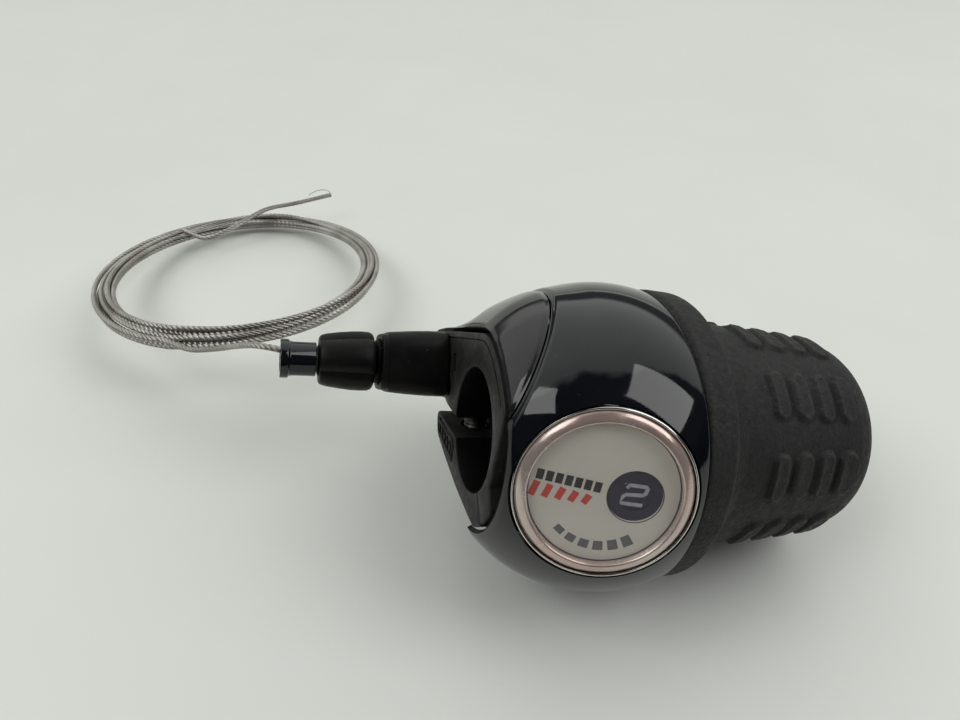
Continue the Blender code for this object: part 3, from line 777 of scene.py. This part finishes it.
def plain_radius(theta, z):
    """The casing's smooth shape: the end plate's outline that swells into the ball."""
    rim = np.interp(np.degrees(theta) % 360.0, np.arange(721) / 2.0, np.append(RIM, RIM[0]))
    ball = ball_radius(theta, z)
    start = ball_radius(theta, np.full_like(z, CASE_START))
    swell = np.clip(1.0 - (rim - 19.4) / 6.0, 0.0, 1.0)
    share = smoothstep((z - CASE_START) / SWELL_REACH)
    return (1 - share) * (rim + (ball - start) * swell) + share * ball


def crease_height(theta):
    """Height of the line between the hood and the shoulder, which lies in a leaning plane."""
    z = np.full_like(theta, 8.0)
    for _ in range(60):
        z = CREASE_START + CREASE_SLOPE * plain_radius(theta, np.clip(z, 0.0, 28.0)) * np.sin(theta)
    return z


def end_height(theta):
    """Height of the casing's open end, which leans slightly."""
    z = np.full_like(theta, CASE_END)
    for _ in range(6):
        r = plain_radius(theta, z)
        z = CASE_END - END_LEAN_X * r * np.cos(theta) - END_LEAN_Y * r * np.sin(theta)
    return z


def skin_radius(theta, z, hood):
    """The plain shape with softened edges at the crease, the end plate and the open end."""
    radius = plain_radius(theta, z)
    away = (z - CREASE_START - CREASE_SLOPE * radius * np.sin(theta)) * CREASE_FACING
    if hood:
        radius = radius - 0.50 * (1 - smoothstep(away / 0.9)) ** 2
    else:
        on_shoulder = radius * np.cos(theta) < HOOD_REACH + 8.0
        dip = 0.35 * (1 - smoothstep((-away - 0.25) / 1.2)) ** 2
        radius = radius - np.where(on_shoulder & (away < 0.2), dip, 0.0)
    radius = radius - 0.35 * (1 - smoothstep((z - CASE_START) / 0.8)) ** 2
    to_end = CASE_END - END_LEAN_X * radius * np.cos(theta) - END_LEAN_Y * radius * np.sin(theta) - z
    return radius - 0.40 * (1 - smoothstep(to_end / 0.8)) ** 2


def skin_normals(points, hood):
    """The exact shape's normal at each point, and how far outside the shape the point lies."""
    x, y, z = points.T
    theta = np.arctan2(y, x)
    step = 0.03
    base = skin_radius(theta, z, hood)
    slope_z = (skin_radius(theta, z + step, hood) - skin_radius(theta, z - step, hood)) / (2 * step)
    turn = step / np.maximum(base, 1.0)
    slope_t = (skin_radius(theta + turn, z, hood) - skin_radius(theta - turn, z, hood)) / (2 * step)
    c = np.cos(theta)
    s = np.sin(theta)
    normals = np.stack([c + slope_t * s, s - slope_t * c, -slope_z], axis=1)
    return normals / np.linalg.norm(normals, axis=1)[:, None], np.hypot(x, y) - base


def skin_patch(thetas, lows, highs, middle_rows, hood):
    """Points and faces of the casing between two heights for each angle, with close rows at both edges."""
    rows = []
    for offset in LIP:
        rows.append(lows + np.minimum(offset, 0.12 * (highs - lows) * (1 + offset)))
    first = rows[-1]
    tail = []
    for offset in LIP[::-1]:
        tail.append(highs - np.minimum(offset, 0.12 * (highs - lows) * (1 + offset)))
    last = tail[0]
    for k in range(1, middle_rows):
        rows.append(first + (last - first) * k / middle_rows)
    rows += tail
    verts = []
    for z in rows:
        r = skin_radius(thetas, z, hood)
        verts.append(np.stack([r * np.cos(thetas), r * np.sin(thetas), z], axis=1))
    return np.concatenate(verts), ring_faces(len(thetas), len(rows), False)


def drop_faces(verts, faces, test):
    centres = np.array([verts[list(face)].mean(axis=0) for face in faces])
    keep = ~test(centres)
    return [face for face, kept in zip(faces, keep) if kept]


def in_arm_room(centres):
    angle = np.degrees(np.arctan2(centres[:, 1], centres[:, 0]))
    return (angle > ARM_ROOM[0]) & (angle < ARM_ROOM[1]) & (centres[:, 2] < ARM_ROOM_DEPTH)


def slice_mesh(obj, point, normal):
    """Removes what lies on the side the normal points to."""
    bm = bmesh.new()
    bm.from_mesh(obj.data)
    everything = bm.verts[:] + bm.edges[:] + bm.faces[:]
    bmesh.ops.bisect_plane(
        bm, geom=everything, dist=1e-8, plane_co=Vector(point) * MM, plane_no=normal, clear_outer=True
    )
    bm.to_mesh(obj.data)
    bm.free()


def thicken(obj):
    wall = obj.modifiers.new("wall", "SOLIDIFY")
    wall.thickness = WALL_THICKNESS * MM
    wall.offset = -1.0
    bake_modifiers(obj)


def set_skin_normals(obj, hood):
    """Shades the outer skin with the exact shape's normals, and the cut faces flat."""
    mesh = obj.data
    count = len(mesh.vertices)
    points = np.zeros(count * 3)
    mesh.vertices.foreach_get("co", points)
    points = points.reshape(-1, 3) / MM
    exact, away = skin_normals(points, hood)
    normals = np.zeros((len(mesh.loops), 3))
    for face in mesh.polygons:
        flat = np.array(face.normal)
        for corner in face.loop_indices:
            vertex = mesh.loops[corner].vertex_index
            smooth = abs(away[vertex]) < 0.03 and flat @ exact[vertex] > 0.55
            normals[corner] = exact[vertex] if smooth else flat
    mesh.shade_smooth()
    mesh.normals_split_custom_set(normals.tolist())


def rod_tool(radius, low, high, place, steps=128):
    ends = [(low, circle(radius, steps)), (high, circle(radius, steps))]
    return loft("tool", ends, None, place, None, sharp=None)


def screw_place(angle):
    """The frame of a housing screw, with +Z out of the casing."""
    x, y = polar(1.0, angle)
    turn = BAR.to_3x3()
    origin = BAR @ (Vector((SCREW_SEAT_R * x, SCREW_SEAT_R * y, SCREW_HEIGHT)) * MM)
    return frame_matrix(origin, turn @ Vector((x, y, 0.0)), turn @ Vector((0.0, 0.0, 1.0)))


def add_casing():
    thetas = np.radians(np.arange(64.0, 296.1, 0.75))
    low = np.maximum(CASE_START, crease_height(thetas))
    verts, faces = skin_patch(thetas, low, end_height(thetas), 44, True)
    faces = drop_faces(verts, faces, in_arm_room)
    hood = add_mesh("hood_shell", verts, faces, looks["gloss"], BAR, None, None)
    slice_mesh(hood, (HOOD_REACH, 0.0, 0.0), (1.0, 0.0, 0.0))
    thicken(hood)
    cut(hood, rod_tool(15.0, 12.0, 60.0, DISPLAY, 192), "EXACT")
    darken(hood, on_inside)
    set_skin_normals(hood, True)
    settle(hood, "housing")
    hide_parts("hood")

    around = np.radians(np.arange(0.0, 180.1, 0.75))
    top = crease_height(around) - SEAM
    shown = top - CASE_START > 0.25
    flat_start = np.full(shown.sum(), CASE_START)
    lower_verts, lower_faces = skin_patch(around[shown], flat_start, top[shown], 26, False)
    lower_faces = drop_faces(lower_verts, lower_faces, in_arm_room)
    back = np.radians(np.arange(-84.0, 84.1, 0.75))
    start = np.maximum(CASE_START, crease_height(back) - SEAM)
    start = np.where(start - CASE_START > 0.25, start, CASE_START)
    upper_verts, upper_faces = skin_patch(back, start, end_height(back), 44, False)
    upper_faces = drop_faces(upper_verts, upper_faces, in_arm_room)
    rear = add_mesh("rear_shell_upper", upper_verts, upper_faces, looks["satin"], BAR, None, None)
    slice_mesh(rear, (HOOD_REACH + 0.3, 0.0, 0.0), (-1.0, 0.0, 0.0))
    shoulder = add_mesh("rear_shell", lower_verts, lower_faces, looks["satin"], BAR, None, None)
    bm = bmesh.new()
    bm.from_mesh(shoulder.data)
    bm.from_mesh(rear.data)
    bmesh.ops.remove_doubles(bm, verts=bm.verts, dist=2e-6)
    bm.to_mesh(shoulder.data)
    bm.free()
    bpy.data.objects.remove(rear)
    thicken(shoulder)
    for angle in SCREW_ANGLES:
        cut(shoulder, rod_tool(2.9, -0.3, 8.0, screw_place(angle), 48), "EXACT")
    darken(shoulder, on_inside)
    set_skin_normals(shoulder, False)
    settle(shoulder, "housing")
    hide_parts("rear_housing")


add_casing()


# ---------------------------------------------------------------- clamp

def prism_loft(name, outline, low, high, edge, look, place, body):
    """A flat plate with rounded rims."""
    steps = [(0.0, 1.0), (0.3, 0.45), (0.65, 0.13), (1.0, 0.0)]
    sections = [(low + edge * a, grown(outline, -edge * b)) for a, b in steps]
    sections += [(high - edge * a, grown(outline, -edge * b)) for a, b in reversed(steps)]
    return loft(name, sections, look, place, body, sharp=35.0)


def box_tool(centre, size, place):
    bm = bmesh.new()
    bmesh.ops.create_cube(bm, size=1.0)
    bmesh.ops.scale(bm, vec=Vector(size) * MM, verts=bm.verts)
    bmesh.ops.translate(bm, vec=Vector(centre) * MM, verts=bm.verts)
    mesh = bpy.data.meshes.new("tool")
    bm.to_mesh(mesh)
    bm.free()
    tool = bpy.data.objects.new("tool", mesh)
    bpy.context.scene.collection.objects.link(tool)
    tool.matrix_world = place
    return tool


def ribbon(name, points, width, height, thickness, look, place, body, closed=False):
    """A flat strip along 2D points, standing from height - thickness to height."""
    points = [np.array(p, float) for p in points]
    verts = []
    count = len(points)
    for k, point in enumerate(points):
        before = points[k - 1] if closed or k else points[k]
        after = points[(k + 1) % count] if closed or k < count - 1 else points[k]
        way = after - before
        way /= max(np.linalg.norm(way), 1e-9)
        side = np.array([-way[1], way[0]]) * width / 2
        for sign, z in ((-1, height - thickness), (1, height - thickness), (1, height), (-1, height)):
            verts.append((*(point + side * sign), z))
    faces = ring_faces(4, count, True, closed)
    if not closed:
        faces.append((3, 2, 1, 0))
        faces.append(tuple(range(4 * count - 4, 4 * count)))
    return add_mesh(name, verts, faces, look, place, body, 30.0)


def threaded(name, radius, depth, pitch, low, high, look, place, body):
    """A screw thread: rings whose radius follows the helix."""
    steps = 40
    rings_per_pitch = 8
    verts = []
    rows = int((high - low) / (pitch / rings_per_pitch)) + 1
    for i in range(rows):
        z = low + (high - low) * i / (rows - 1)
        for k in range(steps):
            phase = (z / pitch - k / steps) % 1.0
            tooth = abs(2 * phase - 1)
            x, y = polar(radius - depth * tooth, 360.0 * k / steps)
            verts.append((x, y, z))
    faces = ring_faces(steps, rows)
    faces.append(tuple(range(steps))[::-1])
    faces.append(tuple(range((rows - 1) * steps, rows * steps)))
    return add_mesh(name, verts, faces, look, place, body, 60.0)


ARM_PIVOT = (-3.5, -14.2)


def add_clamp():
    bore = arc(BORE_R, 247.0, 6.0, 72)
    smooth = rounded(EAR + TOP + SIDE + WALL + bore, 0.9, 4)
    bracket = prism_loft("clamp_plate", smooth, 0.0, PLATE_DEPTH, PLATE_EDGE, looks["matte"], BAR, None)
    cut(bracket, box_tool((13.4, 11.95, 1.6), (2.3, 3.5, 5.0), BAR))
    oval = [(-1.0, superellipse(1.3, 1.8, 32, 2.0)), (4.2, superellipse(1.3, 1.8, 32, 2.0))]
    oval_place = BAR @ Matrix.Translation(Vector((16.9, 7.0, 0.0)) * MM)
    cut(bracket, loft("tool", oval, None, oval_place, None, sharp=None))
    cut(bracket, rod_tool(2.8, -12.0, 0.5, BOLT, 40))
    cut(bracket, box_tool((3.0, 0.0, -8.0), (14.0, 8.4, 4.4), BOLT))
    darken(bracket, in_bore)
    bracket.data.set_sharp_from_angle(angle=SMOOTH_ANGLE)
    settle(bracket, "housing")
    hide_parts("clamp_bracket")

    edge = [
        (26.5, 17.2), (21.7, 17.2), (8.0, 16.5), (-3.8, 15.8), (-6.4, 15.1), (-8.8, 13.6), (-11.6, 10.7), (-13.8, 7.6),
        (-15.2, 4.9),
    ]
    raised = BAR @ Matrix.Translation((0.0, 0.0, -0.000012))
    seam = ribbon("plate_seam", spline(edge, 8), 0.22, 0.0, 0.05, looks["black_and_shade"], raised, "housing")

    upwards = BAR.to_3x3() @ Vector((0.0, 1.0, 0.0))
    stub = frame_matrix(BAR @ (Vector((13.0, 10.3, 1.0)) * MM), upwards, bar_axis)
    wire = threaded("slot_thread", 0.8, 0.2, 0.55, 0.0, 3.3, looks["steel"], stub, "housing")

    px, py = ARM_PIVOT
    heel = arc(17.0, -111.8, -97.0, 6)
    back = [(1.0, -15.8), (9.8, -11.9), (18.8, -7.1), (24.6, -3.6), (25.6, -1.8), (25.8, 0.6), (25.0, 1.8)]
    inner = arc(BORE_R, -13.6, -111.4, 48)
    outline = rounded([(x - px, y - py) for x, y in heel + back + inner], 0.9, 4)
    arm = prism_loft("clamp_lever", outline, 0.0, PLATE_DEPTH, PLATE_EDGE, looks["matte"], PIVOT, None)
    cut(arm, rod_tool(3.0, -1.0, 14.0, BOLT, 40))
    cut(arm, rod_tool(5.1, 3.4, 16.0, BOLT, 48))
    darken(arm, in_bore)
    arm.data.set_sharp_from_angle(angle=SMOOTH_ANGLE)
    pad = [(24.0, 0.4), (12.9, -2.9), (12.0, -4.3), (13.2, -7.5), (24.4, -2.5)]
    pad = rounded([(x - px, y - py) for x, y in pad], 0.5, 3)
    lift = PIVOT @ Matrix.Translation((0.0, 0.0, -0.00009))
    groove = ribbon("pad_groove", pad, 0.55, 0.10, 0.12, looks["black_and_shade"], lift, "arm", True)
    frame_line = ribbon("pad_frame", grown(pad, -0.45), 0.35, 0.07, 0.2, looks["matte"], lift, "arm", True)
    for row in range(5):
        x = 14.2 + 2.1 * row - px
        y = -5.4 + 0.86 * row - py
        wave = [(x + 0.3 * math.sin(2.2 * k), y + 3.2 * (k / 5 - 0.28)) for k in range(6)]
        curve = spline([(*point, 0.0) for point in wave], 4)[:, :2]
        mark = ribbon(f"pad_wave_{row + 1}", curve, 0.4, 0.07, 0.2, looks["black_and_shade"], lift, "arm")
    settle(arm, "arm")
    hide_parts("clamp_arm")

    head = rounded([(4.8, 0.1), (4.8, 4.1), (8.2, 4.1), (8.2, 2.3), (5.9, 2.3), (5.9, 0.1)], 0.35)
    bolt_head = lathe("bolt_head", head, looks["steel"], BOLT, "bolt", 64)
    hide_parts("clamp_bolt")
    # Painted shade: a near-black hexagon at the bottom of the head's recess stands for the shadow inside the hex
    # socket.
    hexagon = circle(2.35, 6)
    sleeve = loft("hex_socket_shade", [(5.6, hexagon), (5.95, hexagon)], looks["black_and_shade"], BOLT, "bolt")
    # The thread is painted in shade with the darker steel. The head shows the same steel bright.
    thread = threaded("bolt_thread", 2.4, 0.34, 0.8, -11.0, 4.9, looks["shaded_steel"], BOLT, "bolt")


add_clamp()


# ---------------------------------------------------------------- cable outlet and adjuster

def lobed(radius, depth, lobes=4, count=144):
    """A circle with shallow hollows between broad lobes."""
    points = []
    for k in range(count):
        turn = 360.0 * k / count
        ridge = abs(math.cos(math.radians(lobes * turn / 2)))
        points.append(polar(radius - depth * (1 - ridge) ** 2.2, turn + 14.0))
    return points


def add_outlet():
    outside = [
        (0.3, 6.45), (0.42, 6.62), (0.7, 6.7), (4.0, 6.65), (8.0, 6.42), (11.7, 6.08), (11.95, 6.0), (12.0, 5.78),
        (13.1, 5.66), (13.32, 5.55), (13.4, 5.35),
    ]
    inside = [(13.4, 4.75), (10.3, 4.7), (10.2, 3.3), (0.4, 3.3)]
    sections = [(z, superellipse(half, half)) for z, half in outside]
    sections += [(z, circle(radius)) for z, radius in inside]
    boss = loft("outlet_block", sections, looks["knob"], OUTLET, "housing", (False, False), 30.0)
    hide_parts("cable_boss")

    screw = threaded("adjuster_screw", 3.0, 0.32, 1.0, 4.0, 25.6, looks["black_and_shade"], OUTLET, "adjuster")
    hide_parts("adjuster_bolt")

    lobes = [
        (14.7, 5.1, 0.55), (14.8, 5.35, 0.65), (15.1, 5.68, 0.75), (15.7, 5.93, 0.85), (17.0, 5.97, 0.95),
        (19.0, 5.9, 0.95), (21.5, 5.62, 0.85), (23.8, 5.26, 0.7), (24.7, 5.0, 0.55), (25.15, 4.75, 0.4),
        (25.3, 4.45, 0.3),
    ]
    hole = circle(3.3, 144)
    knob_sections = [(z, lobed(radius, depth)) for z, radius, depth in lobes]
    knob_sections = [(lobes[0][0], hole), *knob_sections, (lobes[-1][0], hole)]
    knob = loft("adjuster_cap", knob_sections, looks["knob"], OUTLET, "adjuster", (False, False), 30.0)
    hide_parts("adjuster_knob")

    socket = rounded(
        [(25.9, 0.95), (25.9, 3.4), (30.9, 3.4), (31.2, 3.85), (32.7, 3.85), (32.7, 2.6), (28.0, 2.6), (28.0, 0.95)],
        0.22, 3,
    )
    stop = lathe("casing_socket", socket, looks["gloss"], OUTLET, None, 96)
    for side in (1, -1):
        cut(stop, box_tool((0.0, 3.45 * side, 28.4), (1.5, 0.9, 4.0), OUTLET))
    stop.data.set_sharp_from_angle(angle=SMOOTH_ANGLE)
    settle(stop, "adjuster")
    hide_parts("casing_stop")


add_outlet()


# ---------------------------------------------------------------- display

# Strokes of the gear numbers, each about its own middle.
NUMERALS = {
    1: [[(-0.9, 1.15), (0.35, 1.75), (-0.25, -1.75)]],
    2: [[(-1.35, 1.0), (-1.1, 1.6), (1.65, 1.6), (1.9, 1.35), (1.65, 0.35), (1.3, 0.1), (-1.35, -0.1),
         (-1.75, -0.45), (-2.0, -1.65), (1.55, -1.65)]],
    3: [[(-1.35, 1.6), (1.65, 1.6), (1.85, 1.3), (1.65, 0.35), (1.3, 0.05), (-0.9, 0.05)],
        [(1.3, 0.05), (1.55, -0.25), (1.35, -1.4), (1.0, -1.65), (-1.95, -1.65)]],
    4: [[(1.0, 1.7), (-1.75, -0.6), (1.65, -0.6)], [(1.35, 0.5), (0.75, -1.75)]],
    5: [[(1.85, 1.6), (-1.25, 1.6), (-1.55, 0.2), (1.2, 0.15), (1.5, -0.15), (1.25, -1.35), (0.9, -1.65),
         (-1.95, -1.65)]],
}
FACE_TOP = 23.6
DISC_TOP = 22.8
WINDOW_OFF = 5.0
WINDOW_R = 4.4


def turned(points, degrees, centre):
    c, s = polar(1.0, degrees)
    return [(x * c - y * s + centre[0], x * s + y * c + centre[1]) for x, y in points]


def printed(name, points, width, look):
    """A stroke of print that stands just proud of the face."""
    piece = ribbon(name, points, width, FACE_TOP + 0.03, 0.05, look, DISPLAY, "housing")
    return piece


def add_display():
    ring = rounded([(23.2, 14.25), (23.2, 14.7), (24.05, 14.7), (24.3, 14.5), (24.3, 14.25)], 0.14, 3)
    bezel = lathe("display_ring", ring, looks["silver"], DISPLAY, "housing", 192)
    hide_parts("dial_bezel")

    rim = [
        (22.9, 12.3), (22.9, 14.15), (23.75, 14.15), (24.12, 13.9), (24.5, 13.45), (24.78, 12.95), (24.92, 12.5),
        (24.9, 12.3), (24.6, 12.12), (23.7, 12.02), (23.4, 12.1),
    ]
    bevel = lathe("lens_bevel", rim, looks["rim"], DISPLAY, "housing", 192, True, 60.0)
    # Painted shadow: a dark ring between the printed face and the lens's bevelled rim.
    shadow = [(23.55, 11.86), (23.55, 12.08), (23.72, 12.06), (23.72, 11.9)]
    line = lathe("lens_shadow_line", shadow, looks["ink_and_shade_black"], DISPLAY, "housing", 192)

    dome = [(24.92 - 0.0004 * r * r, r) for r in (12.3, 11.0, 9.0, 7.0, 5.0, 3.0, 1.0, 0.05)]
    lens = lathe("lens_dome", dome, looks["clear"], DISPLAY, "housing", 128, False, None)
    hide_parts("dial_lens")

    face = rod_tool(12.15, 23.1, FACE_TOP, DISPLAY, 160)
    face.name = "printed_face"
    window_place = DISPLAY @ Matrix.Translation(Vector((WINDOW_OFF, 0.0, 0.0)) * MM)
    cut(face, rod_tool(WINDOW_R, 20.0, 26.0, window_place, 96))
    face.data.materials.clear()
    face.data.materials.append(looks["print"])
    face.data.set_sharp_from_angle(angle=SMOOTH_ANGLE)
    settle(face, "housing")
    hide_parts("dial_face")
    # Painted shadow: a thin dark ring on the face round the window's edge.
    inside = WINDOW_R - 0.02
    outside = WINDOW_R + 0.12
    low = FACE_TOP - 0.02
    high = FACE_TOP + 0.02
    edge = [(low, inside), (low, outside), (high, outside), (high, inside)]
    rim_line = lathe("window_shadow_line", edge, looks["ink_and_shade_black"], window_place, "housing", 96)

    ledge = [(22.93, 2.7), (22.93, 4.5), (23.03, 4.5), (23.03, 2.7)]
    mask = lathe("window_mask", ledge, looks["aubergine"], window_place, "housing", 96)

    for number, strokes in NUMERALS.items():
        angle = (number - 2) * 60.0
        centre = polar(WINDOW_OFF, angle)
        for index, stroke in enumerate(strokes):
            name = f"gear_{number}_{index + 1}"
            points = turned(stroke, angle, centre)
            piece = ribbon(name, points, 0.62, DISC_TOP + 0.05, 0.06, looks["numeral"], DISPLAY, "indicator")

    for block in range(7):
        x = -10.9 + 1.54 * block
        y = 1.95 - 0.165 * block
        stroke = [(x, y), (x + 1.15, y - 0.12)]
        printed(f"mark_dark_{block + 1}", stroke, 1.75, looks["ink_and_shade_black"])
    for block in range(5):
        x = -11.3 + 2.1 * block
        y = -0.6 - 0.2 * block
        tall = 1.25 - 0.12 * block
        stroke = [(x + 0.75, y + tall), (x, y - tall)]
        printed(f"mark_red_{block + 1}", stroke, 1.1, looks["ink_red"])
    for step in range(6):
        angle = 231.0 + 14.4 * step
        points = [polar(9.3, angle + d) for d in (-4.9, -2.4, 0.0, 2.4, 4.9)]
        printed(f"scale_{step + 1}", points, 1.2 + 0.14 * step, looks["ink_grey"])


add_display()


# ---------------------------------------------------------------- grip

RIB_LENGTH = 8.8
RIB_WIDTH = 3.5
RIB_HEIGHT = 0.85
RIB_GROUPS = 9
FIRST_GROUP = 157.0
RIB_ROWS = 4
FIRST_ROW = 49.4
ROW_STEP = 5.13
RIBBED_START = 45.0
SLEEVE_BORE_R = 15.4
FLANGE_BORE_R = 24.2
RESTING_GAP = 0.02


def rib_relief(theta, z, radius):
    """Height of the raised ovals at an angle and a place along the grip."""
    relief = np.zeros_like(theta)
    for group in range(RIB_GROUPS):
        middle = math.radians(FIRST_GROUP + 360.0 / RIB_GROUPS * group)
        around = (theta - middle + math.pi) % (2 * math.pi) - math.pi
        for row in range(RIB_ROWS):
            along = z - (FIRST_ROW + ROW_STEP * row)
            over = np.maximum(np.abs(around * radius) - (RIB_LENGTH - RIB_WIDTH) / 2, 0.0)
            away = np.hypot(over, along) - RIB_WIDTH / 2
            shape = 1 - smoothstep((away + 0.25) / 0.5)
            dish = 0.10 * smoothstep((-away - 0.5) / 0.6)
            relief = np.maximum(relief, RIB_HEIGHT * shape - dish)
    return relief


def add_grip():
    corners = [
        (29.4, FLANGE_BORE_R), (29.4, 24.9), (29.8, 25.4), (31.3, 27.0), (35.5, 26.75), (36.2, 26.5), (36.6, 25.6),
        (37.7, 23.6), (39.4, 22.4), (41.5, 21.75), (68.0, 19.25), (70.2, 18.55), (71.8, 17.6), (72.7, 16.6),
        (73.1, 15.9), (73.1, SLEEVE_BORE_R),
    ]
    profile = rounded(corners, 0.5, 3)[4:-4]
    dense = [profile[0]]
    for a, b in zip(profile, profile[1:]):
        limit = 0.30 if a[0] > RIBBED_START and a[0] < 68.5 else 0.6
        parts = max(1, int(math.hypot(b[0] - a[0], b[1] - a[1]) / limit))
        for k in range(1, parts + 1):
            dense.append((a[0] + (b[0] - a[0]) * k / parts, a[1] + (b[1] - a[1]) * k / parts))
    dense += [(z, SLEEVE_BORE_R) for z in (72.9, 60.0, 45.0, 32.4)]
    dense.append((32.4, FLANGE_BORE_R))
    count = 400
    theta = np.arange(count) / count * 2 * math.pi
    verts = []
    for z, r in dense:
        radius = np.full(count, r)
        if RIBBED_START < z < 70.0 and r > 16.0:
            radius = radius + rib_relief(theta, np.full(count, z), radius)
        verts.append(np.stack([radius * np.cos(theta), radius * np.sin(theta), np.full(count, z)], axis=1))
    faces = ring_faces(count, len(dense), True, True)
    verts = np.concatenate(verts)
    # The rib that the shifter rests on is pressed flat against the table.
    up = np.array(BAR.to_3x3().transposed() @ Vector((0.0, 0.0, 1.0)))
    heights = verts @ up + BAR.translation.z / MM
    verts += np.maximum(RESTING_GAP - heights, 0.0)[:, None] * up
    sleeve = add_mesh("grip_sleeve", verts, faces, looks["rubber"], BAR, "grip", 50.0)
    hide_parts("grip_cover")


add_grip()


# ---------------------------------------------------------------- floor, lights and background

FLOOR_REACH = 2.5
FLOOR_DROP = 0.00005
PANEL_DISTANCE = 1.2
PANEL_RADIANCE = 3.0
BACKGROUND = (0.62, 0.64, 0.60, 1.0)


def add_floor():
    look = Look("floor", (0.76, 0.78, 0.73), 0.5)
    tone = look.ramp(look.noise(9.0, 4.0, 0.6), (0.3, (0.79, 0.81, 0.765)), (0.7, (0.83, 0.845, 0.80)))
    marks = look.ramp(look.noise(160.0, 3.0, 0.7), (0.735, 0.0), (0.78, 0.35))
    colour = look.mix(marks, tone, (0.45, 0.46, 0.43))
    rough = look.ramp(look.noise(40.0, 3.0), (0.3, 0.42), (0.7, 0.55))
    normal = look.bump(look.noise(700.0, 3.0), 0.00001, 0.3)
    look.finish(colour, rough, normal)
    bm = bmesh.new()
    bmesh.ops.create_grid(bm, x_segments=8, y_segments=8, size=FLOOR_REACH)
    mesh = bpy.data.meshes.new("floor")
    bm.to_mesh(mesh)
    bm.free()
    mesh.materials.append(look.mat)
    floor = bpy.data.objects.new("floor", mesh)
    bpy.context.scene.collection.objects.link(floor)
    floor.location = (0.0, 0.0, -FLOOR_DROP)


def add_light(name, way, across, size):
    """A soft rectangular panel that faces the display."""
    data = bpy.data.lights.new(name, "AREA")
    data.shape = "RECTANGLE"
    data.size = size[0]
    data.size_y = size[1]
    data.energy = PANEL_RADIANCE * math.pi * size[0] * size[1]
    light = bpy.data.objects.new(name, data)
    bpy.context.scene.collection.objects.link(light)
    way = Vector(way).normalized()
    light.matrix_world = frame_matrix(DISPLAY.to_translation() + way * PANEL_DISTANCE, way, across)


def shade_ramp(tree, source, stops):
    ramp = tree.nodes.new("ShaderNodeValToRGB")
    tree.links.new(source, ramp.inputs["Fac"])
    elements = ramp.color_ramp.elements
    while len(elements) < len(stops):
        elements.new(0.5)
    for element, (position, shade) in zip(elements, stops):
        element.position = position
        element.color = (shade, shade * 1.01, shade * 0.99, 1.0)
    return ramp.outputs["Color"]


def add_world():
    """A room: pale on the far side above a dark band at the horizon, and dark on the near side."""
    world = bpy.data.worlds.new("studio")
    bpy.context.scene.world = world
    world.use_nodes = True
    tree = world.node_tree
    coords = tree.nodes.new("ShaderNodeTexCoord")
    split = tree.nodes.new("ShaderNodeSeparateXYZ")
    tree.links.new(coords.outputs["Generated"], split.inputs["Vector"])
    waves = tree.nodes.new("ShaderNodeTexNoise")
    waves.inputs["Scale"].default_value = 2.6
    waves.inputs["Detail"].default_value = 3.0
    tree.links.new(coords.outputs["Generated"], waves.inputs["Vector"])
    shifted = tree.nodes.new("ShaderNodeMath")
    shifted.operation = "MULTIPLY_ADD"
    shifted.inputs[1].default_value = 0.35
    tree.links.new(waves.outputs["Fac"], shifted.inputs[0])
    tree.links.new(split.outputs["Y"], shifted.inputs[2])
    depth = shade_ramp(tree, shifted.outputs["Value"], [(0.20, 0.03), (0.27, 0.75), (0.60, 1.0), (1.0, 1.15)])
    bands = [(0.0, 0.9), (0.02, 0.35), (0.05, 0.10), (0.20, 0.12), (0.27, 1.0), (1.0, 0.95)]
    height = shade_ramp(tree, split.outputs["Z"], bands)
    both = tree.nodes.new("ShaderNodeMix")
    both.data_type = "RGBA"
    both.blend_type = "MULTIPLY"
    both.inputs["Factor"].default_value = 1.0
    tree.links.new(depth, both.inputs[6])
    tree.links.new(height, both.inputs[7])
    seen = tree.nodes.new("ShaderNodeMix")
    seen.data_type = "RGBA"
    seen.inputs[7].default_value = BACKGROUND
    tree.links.new(tree.nodes.new("ShaderNodeLightPath").outputs["Is Camera Ray"], seen.inputs["Factor"])
    tree.links.new(both.outputs[2], seen.inputs[6])
    tree.links.new(seen.outputs[2], tree.nodes["Background"].inputs["Color"])


add_floor()
add_light("panel_left", (-0.6343, -0.0559, 0.7711), (0.4437, -0.2754, 0.3529), (0.63, 0.60))
add_light("panel_right", (0.6411, -0.1982, 0.7414), (0.6184, -0.3143, -0.6341), (0.94, 0.56))
add_world()
bpy.context.scene.view_settings.view_transform = "Standard"
